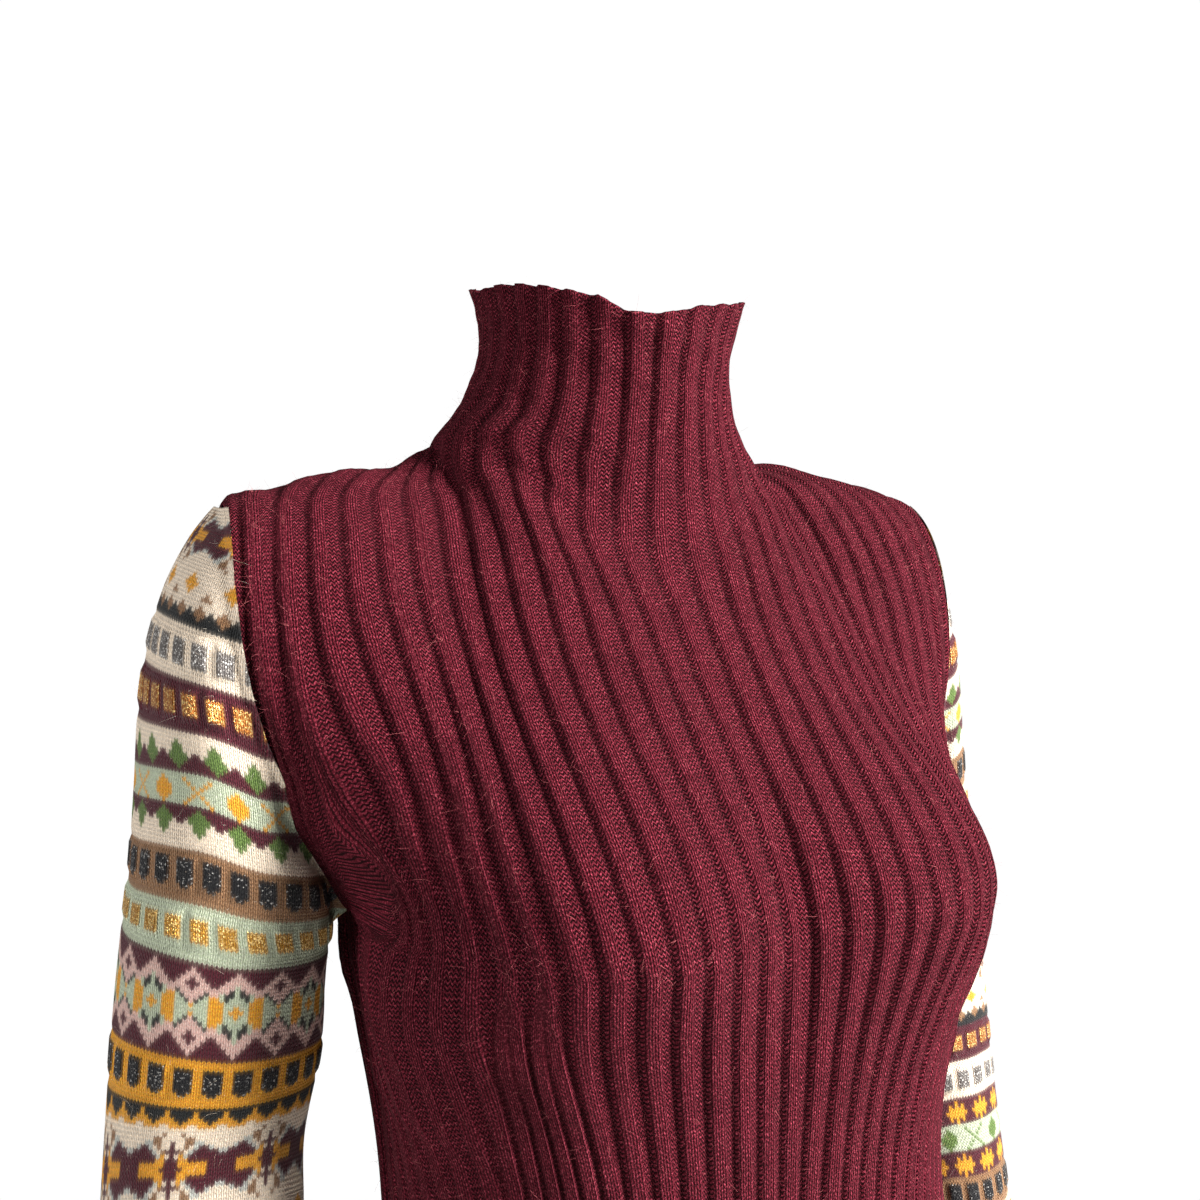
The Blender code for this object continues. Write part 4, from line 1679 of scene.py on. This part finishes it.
class Nodes:
    """A short way to add and join the nodes of one tree."""

    def __init__(self, tree: bpy.types.NodeTree) -> None:
        """Takes a tree and clears it."""
        self.tree = tree
        tree.nodes.clear()

    def add(self, kind: str, inputs: dict[Union[str, int], Value], **settings: object) -> bpy.types.Node:
        """Adds a node.

        Args:
            kind: The node's type.
            inputs: Its inputs by name or place, as values or as sockets to join.
            settings: Its other settings.

        Returns:
            The node.
        """
        node = self.tree.nodes.new(kind)
        for name, value in settings.items():
            setattr(node, name, value)
        self.give(node, inputs)
        return node

    def give(self, node: bpy.types.Node, inputs: dict[Union[str, int], Value]) -> None:
        """Gives a node's inputs their values, or joins them to sockets."""
        for key, value in inputs.items():
            if isinstance(value, bpy.types.NodeSocket):
                self.tree.links.new(value, node.inputs[key])
            else:
                node.inputs[key].default_value = value

    def math(self, operation: str, *values: Value, clamp: bool = False) -> bpy.types.NodeSocket:
        """The result of a Math node."""
        inputs = dict(enumerate(values))
        return self.add("ShaderNodeMath", inputs, operation=operation, use_clamp=clamp).outputs[0]

    def step(self, value: Value, start: float, end: float) -> bpy.types.NodeSocket:
        """An eased step from 0 at start to 1 at end."""
        inputs = {"Value": value, "From Min": start, "From Max": end}
        return self.add("ShaderNodeMapRange", inputs, interpolation_type="SMOOTHSTEP").outputs[0]

    def blend(self, share: Value, first: object, second: object, kind: str = "MIX") -> bpy.types.NodeSocket:
        """Two colours mixed.

        Args:
            share: The second one's share.
            first: A colour or socket.
            second: A colour or socket.
            kind: How they mix.

        Returns:
            The mixed colour.
        """
        inputs = {0: share, 6: first, 7: second}
        return self.add("ShaderNodeMix", inputs, data_type="RGBA", blend_type=kind).outputs[2]

    def dimmed(self, colour: object, shade: Value) -> bpy.types.NodeSocket:
        """A colour times a number."""
        grey = self.add("ShaderNodeCombineXYZ", {0: shade, 1: shade, 2: shade}).outputs[0]
        return self.blend(1.0, colour, grey, "MULTIPLY")

    def yarn(self, scale: float) -> bpy.types.Node:
        """The group that makes yarn uneven, at a scale in waves a metre."""
        return self.add("ShaderNodeGroup", {"Scale": scale}, node_tree=yarn_group())

    def stitches(self, purl: Value) -> bpy.types.Node:
        """The group that shapes the stitches, laid on the cloth by its UV map."""
        place = self.add("ShaderNodeUVMap", {}, uv_map="Stitches").outputs[0]
        wale, course, _ = self.add("ShaderNodeSeparateXYZ", {0: place}).outputs
        inputs = {"Wale": wale, "Course": course, "Purl": purl}
        return self.add("ShaderNodeGroup", inputs, node_tree=stitch_group())


def new_group(
    name: str, inputs: tuple[str, ...], outputs: tuple[str, ...]
) -> tuple[Nodes, dict[str, bpy.types.NodeSocket], bpy.types.Node]:
    """Starts a shader node group of numbers.

    Args:
        name: The group's name.
        inputs: Its inputs' names.
        outputs: Its outputs' names.

    Returns:
        Its nodes, its inputs by name, and its output node.
    """
    tree = bpy.data.node_groups.new(name, "ShaderNodeTree")
    for socket in inputs:
        tree.interface.new_socket(socket, in_out="INPUT", socket_type="NodeSocketFloat")
    for socket in outputs:
        tree.interface.new_socket(socket, in_out="OUTPUT", socket_type="NodeSocketFloat")
    nodes = Nodes(tree)
    start = nodes.add("NodeGroupInput", {})
    end = nodes.add("NodeGroupOutput", {})
    return nodes, {socket: start.outputs[socket] for socket in inputs}, end


def stitch_group() -> bpy.types.NodeTree:
    """Builds the group that shapes the yarn of each stitch.

    Its inputs are the wale and course coordinates and the purl share. Its outputs are the yarn's
    height from 0 to 1 and how much the gaps between yarns lie in shade.

    Returns:
        The group.
    """
    if "Knit stitches" in bpy.data.node_groups:
        return bpy.data.node_groups["Knit stitches"]
    nodes, given, end = new_group("Knit stitches", ("Wale", "Course", "Purl"), ("Height", "Gap"))
    turn = 2 * PI
    flat = nodes.add("ShaderNodeCombineXYZ", {0: given["Wale"], 1: given["Course"]}).outputs[0]
    for name, offset, size in (("Wale", 0.0, 0.35), ("Course", 40.0, 0.60)):
        moved = nodes.add("ShaderNodeVectorMath", {0: flat, 1: (offset, offset, 0.0)}, operation="ADD")
        inputs = {"Vector": moved.outputs[0], "Scale": 0.75, "Detail": 2.0}
        wobble = nodes.math("SUBTRACT", nodes.add("ShaderNodeTexNoise", inputs).outputs[0], 0.5)
        given[name] = nodes.math("MULTIPLY_ADD", wobble, size, given[name])
    aside = nodes.math("ABSOLUTE", nodes.math("SUBTRACT", nodes.math("FRACT", given["Wale"]), 0.5))
    aside = nodes.math("MULTIPLY", aside, 2.0)
    slant = nodes.math("SUBTRACT", given["Course"], nodes.math("MULTIPLY", aside, 0.62))
    leg = nodes.math("COSINE", nodes.math("MULTIPLY", nodes.math("ADD", slant, 0.5), turn))
    leg = nodes.math("MULTIPLY_ADD", leg, 0.5, 0.5)
    round_leg = nodes.math("MULTIPLY", nodes.math("MULTIPLY", aside, nodes.math("SUBTRACT", 1.0, aside)), 4.0)
    round_leg = nodes.math("POWER", round_leg, 0.9)
    knit = nodes.math("MULTIPLY_ADD", nodes.math("POWER", leg, 0.7), 0.62, 0.38)
    knit = nodes.math("MULTIPLY", round_leg, knit)
    wave = nodes.math("COSINE", nodes.math("MULTIPLY", given["Wale"], turn))
    bow = nodes.math("MULTIPLY_ADD", wave, 0.24, given["Course"])
    purl = nodes.math("MULTIPLY_ADD", nodes.math("COSINE", nodes.math("MULTIPLY", bow, turn)), 0.5, 0.5)
    purl = nodes.math("POWER", purl, 0.8)
    height = nodes.add("ShaderNodeMix", {0: given["Purl"], 2: knit, 3: purl}).outputs[0]
    gap = nodes.math("SUBTRACT", 1.0, nodes.step(height, 0.05, 0.75))
    nodes.give(end, {"Height": height, "Gap": gap})
    return nodes.tree


def yarn_group() -> bpy.types.NodeTree:
    """Builds the group that makes yarn uneven.

    Its input is the noise's scale in waves a metre. Its outputs are a fine fleck, a broad shade
    and fuzz height, all from 0 to 1.

    Returns:
        The group.
    """
    if "Woollen yarn" in bpy.data.node_groups:
        return bpy.data.node_groups["Woollen yarn"]
    nodes, given, end = new_group("Woollen yarn", ("Scale",), ("Fleck", "Shade", "Fuzz"))
    place = nodes.add("ShaderNodeTexCoord", {}).outputs["Object"]
    for name, factor, detail in (("Fleck", 1.0, 3.0), ("Shade", 0.045, 2.0), ("Fuzz", 2.6, 4.0)):
        scale = nodes.math("MULTIPLY", given["Scale"], factor)
        inputs = {"Vector": place, "Scale": scale, "Detail": detail, "Roughness": 0.6}
        nodes.give(end, {name: nodes.add("ShaderNodeTexNoise", inputs).outputs[0]})
    return nodes.tree


def new_finish(name: str) -> tuple[bpy.types.Material, Nodes, bpy.types.Node]:
    """Starts a material with a plain shader.

    Args:
        name: The material's name.

    Returns:
        The material, its nodes and its shader.
    """
    material = bpy.data.materials.new(name)
    material.use_nodes = True
    nodes = Nodes(material.node_tree)
    shader = nodes.add("ShaderNodeBsdfPrincipled", {})
    nodes.add("ShaderNodeOutputMaterial", {"Surface": shader.outputs[0]})
    return material, nodes, shader


@dataclass(frozen=True)
class RibbedWool:
    """Burgundy wool, ribbed, with soft light fibres standing off it.

    Attributes:
        colour: The yarn.
        light: A paler red, for the yarn's random flecks and for the painted highlight along the ribs'
            standing edges.
        dark: A near-black red, for the yarn's random dark specks and for the painted shade in the furrows and
            between the stitches.
        glow: The fibres at grazing angles.
        stitch_depth: The stitches' height, in metres.
        sheen: How much the fibres glow at grazing angles.
        fleck_scale: The yarn's flecks, in waves a metre.
        speck: How dark its dark specks are.
        lip_painted_highlight: How much the painted highlight lightens the ribs' standing edges.
        furrow_painted_shade, gap_painted_shade: How dark the painted shade in the furrows and in the gaps
            between stitches is.
        fuzz: The fuzz's height, as a share of the stitches'.
    """

    colour: tuple = (0.112, 0.0084, 0.0181, 1.0)
    light: tuple = (0.42, 0.062, 0.098, 1.0)
    dark: tuple = (0.006, 0.0005, 0.0012, 1.0)
    glow: tuple = (0.95, 0.35, 0.42, 1.0)
    stitch_depth: float = 0.0015
    sheen: float = 0.02
    fleck_scale: float = 1300.0
    speck: float = 0.65
    lip_painted_highlight: float = 0.55
    furrow_painted_shade: float = 0.96
    gap_painted_shade: float = 0.95
    fuzz: float = 0.5

    def make(self) -> bpy.types.Material:
        """Makes the material.

        Returns:
            The material.
        """
        material, nodes, shader = new_finish("ribbed_wool")
        relief = nodes.add("ShaderNodeAttribute", {}, attribute_name="Relief").outputs["Fac"]
        stitches = nodes.stitches(nodes.math("SUBTRACT", 1.0, nodes.step(relief, 0.72, 0.92)))
        yarn = nodes.yarn(self.fleck_scale)
        colour = nodes.blend(nodes.step(yarn.outputs["Fleck"], 0.48, 0.74), self.colour, self.light)
        speck = nodes.math("SUBTRACT", 1.0, nodes.step(yarn.outputs["Fleck"], 0.30, 0.48))
        colour = nodes.blend(nodes.math("MULTIPLY", speck, self.speck), colour, self.dark)
        # Painted highlight along the ribs' standing edges, where the light catches them.
        lip = nodes.math("MULTIPLY", nodes.step(relief, 1.08, 1.16), self.lip_painted_highlight)
        colour = nodes.blend(lip, colour, self.light)
        colour = nodes.dimmed(colour, nodes.math("MULTIPLY_ADD", yarn.outputs["Shade"], 0.5, 0.75))
        # Painted shade: the furrows are darkened by their low relief, where the ribs would shade them.
        furrow = nodes.math("SUBTRACT", 1.0, nodes.step(relief, -0.40, 0.45))
        furrow = nodes.math("MULTIPLY", furrow, self.furrow_painted_shade)
        colour = nodes.blend(furrow, colour, self.dark)
        # Painted shade in the gaps between the stitches.
        gap = nodes.math("MULTIPLY", stitches.outputs["Gap"], self.gap_painted_shade)
        height = nodes.math("MULTIPLY_ADD", yarn.outputs["Fuzz"], self.fuzz, stitches.outputs["Height"])
        bump = nodes.add("ShaderNodeBump", {"Strength": 1.0, "Distance": self.stitch_depth, "Height": height})
        surface = {
            "Base Color": nodes.blend(gap, colour, self.dark),
            "Normal": bump.outputs[0],
            "Roughness": 0.9,
            "Specular IOR Level": 0.05,
            "Sheen Weight": self.sheen,
            "Sheen Roughness": 0.5,
            "Sheen Tint": self.glow,
        }
        nodes.give(shader, surface)
        return material


@dataclass(frozen=True)
class StrandedWool:
    """Coloured wool in stocking stitch, with metallic thread in the ladders' blocks.

    Attributes:
        stitch_depth: The stitches' height, in metres.
        sheen: How much the fibres glow at grazing angles.
        glint: How strongly the painted glints lighten the metallic thread's flecks.
        fleck_scale, facet_scale: The yarn's flecks and the thread's, in waves a metre.
        gap_painted_shade: How dark the painted shade in the gaps between stitches is.
        silver, gold: The painted glints' colours in pale and in golden blocks, partly the metal's own pale
            colour.
        fuzz, facet: The fuzz's and the thread's height, as shares of the stitches'.
    """

    stitch_depth: float = 0.0010
    sheen: float = 0.1
    glint: float = 0.9
    fleck_scale: float = 900.0
    facet_scale: float = 1700.0
    gap_painted_shade: float = 0.75
    silver: tuple = (0.85, 0.83, 0.80, 1.0)
    gold: tuple = (1.0, 0.72, 0.28, 1.0)
    fuzz: float = 0.3
    facet: float = 0.5

    def make(self) -> bpy.types.Material:
        """Makes the material.

        Returns:
            The material.
        """
        material, nodes, shader = new_finish("stranded_wool")
        yarn_colour = nodes.add("ShaderNodeAttribute", {}, attribute_name="Yarn").outputs["Color"]
        metallic = nodes.add("ShaderNodeAttribute", {}, attribute_name="Metallic").outputs["Fac"]
        stitches = nodes.stitches(0.0)
        yarn = nodes.yarn(self.fleck_scale)
        fleck = nodes.step(yarn.outputs["Fleck"], 0.3, 0.75)
        colour = nodes.dimmed(yarn_colour, nodes.math("MULTIPLY_ADD", fleck, 0.35, 0.82))
        # Painted shade in the gaps between the stitches: the yarn's colour times itself.
        gap = nodes.math("MULTIPLY", stitches.outputs["Gap"], self.gap_painted_shade)
        colour = nodes.blend(gap, colour, nodes.blend(1.0, yarn_colour, yarn_colour, "MULTIPLY"))
        place = nodes.add("ShaderNodeTexCoord", {}).outputs["Object"]
        grain = nodes.add("ShaderNodeTexVoronoi", {"Vector": place, "Scale": self.facet_scale}, feature="F1")
        facet = nodes.add("ShaderNodeSeparateColor", {0: grain.outputs["Color"]})
        # Painted glints: sparse bright flecks on the metallic thread, partly its own metal colour and partly
        # painted sparkle.
        scarce = nodes.math("MULTIPLY_ADD", nodes.math("SUBTRACT", metallic, 1.0), 0.33, facet.outputs[0])
        threads = nodes.math("MULTIPLY", metallic, 4.0, clamp=True)
        glint = nodes.math("MULTIPLY", nodes.step(scarce, 0.62, 0.90), threads)
        bright = nodes.blend(nodes.step(metallic, 0.8, 0.9), self.silver, self.gold)
        height = nodes.math("MULTIPLY_ADD", yarn.outputs["Fuzz"], self.fuzz, stitches.outputs["Height"])
        thread = nodes.math("MULTIPLY", facet.outputs[1], metallic)
        height = nodes.math("MULTIPLY_ADD", thread, self.facet, height)
        bump = nodes.add("ShaderNodeBump", {"Strength": 1.0, "Distance": self.stitch_depth, "Height": height})
        surface = {
            "Base Color": nodes.blend(nodes.math("MULTIPLY", glint, self.glint), colour, bright),
            "Normal": bump.outputs[0],
            "Metallic": nodes.math("MULTIPLY", metallic, 0.5),
            "Roughness": nodes.math("MULTIPLY_ADD", metallic, -0.5, 0.9),
            "Specular IOR Level": 0.2,
            "Sheen Weight": self.sheen,
            "Sheen Roughness": 0.5,
        }
        nodes.give(shader, surface)
        return material


@dataclass(frozen=True)
class LooseFibre:
    """The fine hairs of a yarn, a little paler than the cloth.

    Attributes:
        name: The material's name.
        dull: The darkest hairs.
        pale: The palest ones.
        fleck_scale: Their change from dull to pale, in waves a metre.
    """

    name: str
    dull: tuple
    pale: tuple
    fleck_scale: float = 260.0

    def make(self) -> bpy.types.Material:
        """Makes the material.

        Returns:
            The material.
        """
        material, nodes, shader = new_finish(self.name)
        yarn = nodes.yarn(self.fleck_scale)
        colour = nodes.blend(nodes.step(yarn.outputs["Fleck"], 0.35, 0.65), self.dull, self.pale)
        rough = nodes.math("MULTIPLY_ADD", yarn.outputs["Fuzz"], 0.2, 0.7)
        nodes.give(shader, {"Base Color": colour, "Roughness": rough, "Specular IOR Level": 0.2})
        return material


@dataclass
class Fluff:
    """Fine stray hairs that stand off a knitted piece, as thin curved strips.

    Attributes:
        piece: The piece they grow from.
        slot: The material slot that is passed on when the hairs are put in the scene.
        finish: Their material.
        count: How many there are.
        length: The longest one's length, in metres.
        width: A hair's width at its root.
        seed: The seed of their places.
        sink: How far below the cloth their roots lie.
    """

    piece: bpy.types.Object
    slot: Slot
    finish: bpy.types.Material
    count: int
    length: float = 0.0065
    width: float = 0.00007
    seed: int = 1
    sink: float = 0.0002

    def roots(self, rng: np.random.Generator) -> tuple[Array, Array]:
        """Chooses where the hairs grow.

        Args:
            rng: The source of chance.

        Returns:
            Their roots and the cloth's normals there.
        """
        mesh = self.piece.data
        places = np.empty(len(mesh.vertices) * 3)
        mesh.vertices.foreach_get("co", places)
        normals = np.empty(len(mesh.vertices) * 3)
        mesh.vertex_normals.foreach_get("vector", normals)
        chosen = rng.integers(0, len(mesh.vertices), self.count)
        return places.reshape(-1, 3)[chosen], normals.reshape(-1, 3)[chosen]

    def strands(self) -> Array:
        """The strips' points: two rows, with four columns to a hair."""
        rng = np.random.default_rng(self.seed)
        roots, normals = self.roots(rng)
        lean = rng.normal(size=(self.count, 3))
        lean -= normals * (lean * normals).sum(axis=1, keepdims=True)
        lean /= np.linalg.norm(lean, axis=1, keepdims=True)
        curl = rng.normal(size=(self.count, 3))
        curl /= np.linalg.norm(curl, axis=1, keepdims=True)
        long = self.length * rng.uniform(0.25, 1.0, (self.count, 1)) ** 1.5
        stand = rng.uniform(0.15, 0.9, (self.count, 1))
        points = []
        for share in (0.0, 0.35, 0.7, 1.0):
            way = normals * stand * (share - 0.45 * share**2) + lean * share + curl * 0.55 * share**2
            middle = roots - normals * self.sink + long * way
            side = np.cross(normals, lean) * self.width / 2 * (1 - 0.6 * share)
            points.append(np.stack([middle - side, middle + side]))
        return np.stack(points, axis=2).reshape(2, -1, 3)

    def build(self) -> bpy.types.Object:
        """Builds the hairs.

        Returns:
            The piece.
        """
        points = self.strands()
        name = self.piece.name.replace("knit", "fluff")
        across, up = np.meshgrid(np.arange(points.shape[1]) * 0.25, np.arange(2.0))
        mesh = grid_mesh(name, points, np.stack([across, up], -1))
        with reshaped(mesh) as strips:
            cell = strips.verts.layers.int["Cell"]
            between = [face for face in strips.faces if min(vert[cell] for vert in face.verts) % 4 == 3]
            bmesh.ops.delete(strips, geom=between, context="FACES")
        hairs = add_piece(name, mesh, self.slot)
        hairs.data.materials.append(self.finish)
        return hairs


@dataclass(frozen=True)
class Studio:
    """The camera, the soft lights and the pale floor.

    Attributes:
        eye: The camera's place.
        heading: Its turn about Z, in degrees.
        lens: Its lens, on a 36 mm sensor.
        floor: The floor's height.
        floor_radius: The floor's radius.
        aim: The height that the lamps face.
        sky, sky_seen: The surroundings' strength, and how much more the camera sees of it.
        key, fill: The lamps: place to the right, towards the camera and up, size, power and colour.
    """

    eye: tuple = (-0.304, -0.500, -0.066)
    heading: float = -30.0
    lens: float = 35.34
    floor: float = -1.0
    floor_radius: float = 1.12
    aim: float = -0.2
    sky: float = 0.14
    sky_seen: float = 0.87
    key: tuple = ((1.90, 0.45, 0.85), 1.0, 215.0, (1.0, 0.98, 0.95))
    fill: tuple = ((-1.5, 1.3, 0.5), 1.4, 37.0, (1.0, 0.99, 0.98))

    def camera(self) -> None:
        """Places the camera."""
        data = bpy.data.cameras.new("camera")
        data.lens = self.lens
        data.sensor_width = 36.0
        data.clip_start = 0.01
        eye = in_scene("camera", data)
        eye.location = self.eye
        eye.rotation_euler = (PI / 2, 0, np.radians(self.heading))
        bpy.context.scene.camera = eye

    def light(self, name: str, place: tuple, size: float, power: float, colour: tuple) -> None:
        """Places a soft light that faces the object.

        Args:
            name: The light's name.
            place: Where it stands: to the right, towards the camera and up, in metres.
            size: Its side, in metres.
            power: Its power, in watts.
            colour: Its colour.
        """
        turn = np.radians(self.heading)
        right = Vector((np.cos(turn), np.sin(turn), 0))
        near = Vector((np.sin(turn), -np.cos(turn), 0))
        data = bpy.data.lights.new(name, "AREA")
        data.shape = "SQUARE"
        data.size = size
        data.energy = power
        data.color = colour
        lamp = in_scene(name, data)
        centre = Vector((0, 0, self.aim))
        lamp.location = centre + right * place[0] + near * place[1] + Vector((0, 0, place[2]))
        lamp.rotation_euler = (lamp.location - centre).to_track_quat("Z", "Y").to_euler()

    def surroundings(self) -> None:
        """Makes the white surroundings and the floor."""
        world = bpy.data.worlds.new("studio")
        world.use_nodes = True
        nodes = Nodes(world.node_tree)
        seen = nodes.add("ShaderNodeLightPath", {}).outputs["Is Camera Ray"]
        strength = nodes.math("MULTIPLY_ADD", seen, self.sky_seen, self.sky)
        sky = nodes.add("ShaderNodeBackground", {"Color": (1.0, 1.0, 1.0, 1.0), "Strength": strength})
        nodes.add("ShaderNodeOutputWorld", {"Surface": sky.outputs[0]})
        bpy.context.scene.world = world
        mesh = bpy.data.meshes.new("floor")
        with reshaped(mesh) as disc:
            bmesh.ops.create_circle(disc, cap_ends=True, segments=128, radius=self.floor_radius)
            bmesh.ops.translate(disc, verts=disc.verts, vec=(0, 0, self.floor))
        material, nodes, shader = new_finish("pale_floor")
        nodes.give(shader, {"Base Color": (0.86, 0.86, 0.85, 1.0), "Roughness": 0.8})
        mesh.materials.append(material)
        in_scene("floor", mesh)

    def build(self) -> None:
        """Sets up the whole studio."""
        self.surroundings()
        self.camera()
        self.light("key", *self.key)
        self.light("fill", *self.fill)
        bpy.context.scene.view_settings.view_transform = "Standard"


def main() -> None:
    """Builds the dress, piece by piece."""
    logging.basicConfig(level=logging.INFO, format="%(message)s")
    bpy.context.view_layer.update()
    Studio().build()
    wool = RibbedWool().make()
    stranded = StrandedWool().make()
    red_hair = LooseFibre("burgundy_fibre", (0.16, 0.012, 0.025, 1.0), (0.60, 0.16, 0.17, 1.0)).make()
    pale_hair = LooseFibre("cream_fibre", (0.45, 0.30, 0.19, 1.0), (0.92, 0.84, 0.72, 1.0)).make()
    for panel in Panel:
        body = RibbedPanel(panel)
        body.dress(body.build(), wool, red_hair)
    for side in Side:
        sleeve = BandedSleeve(side)
        sleeve.dress(sleeve.build(), stranded, pale_hair)
        cuff = RibbedCuff(side)
        cuff.dress(cuff.build(), wool)


if __name__ == "__main__":
    main()
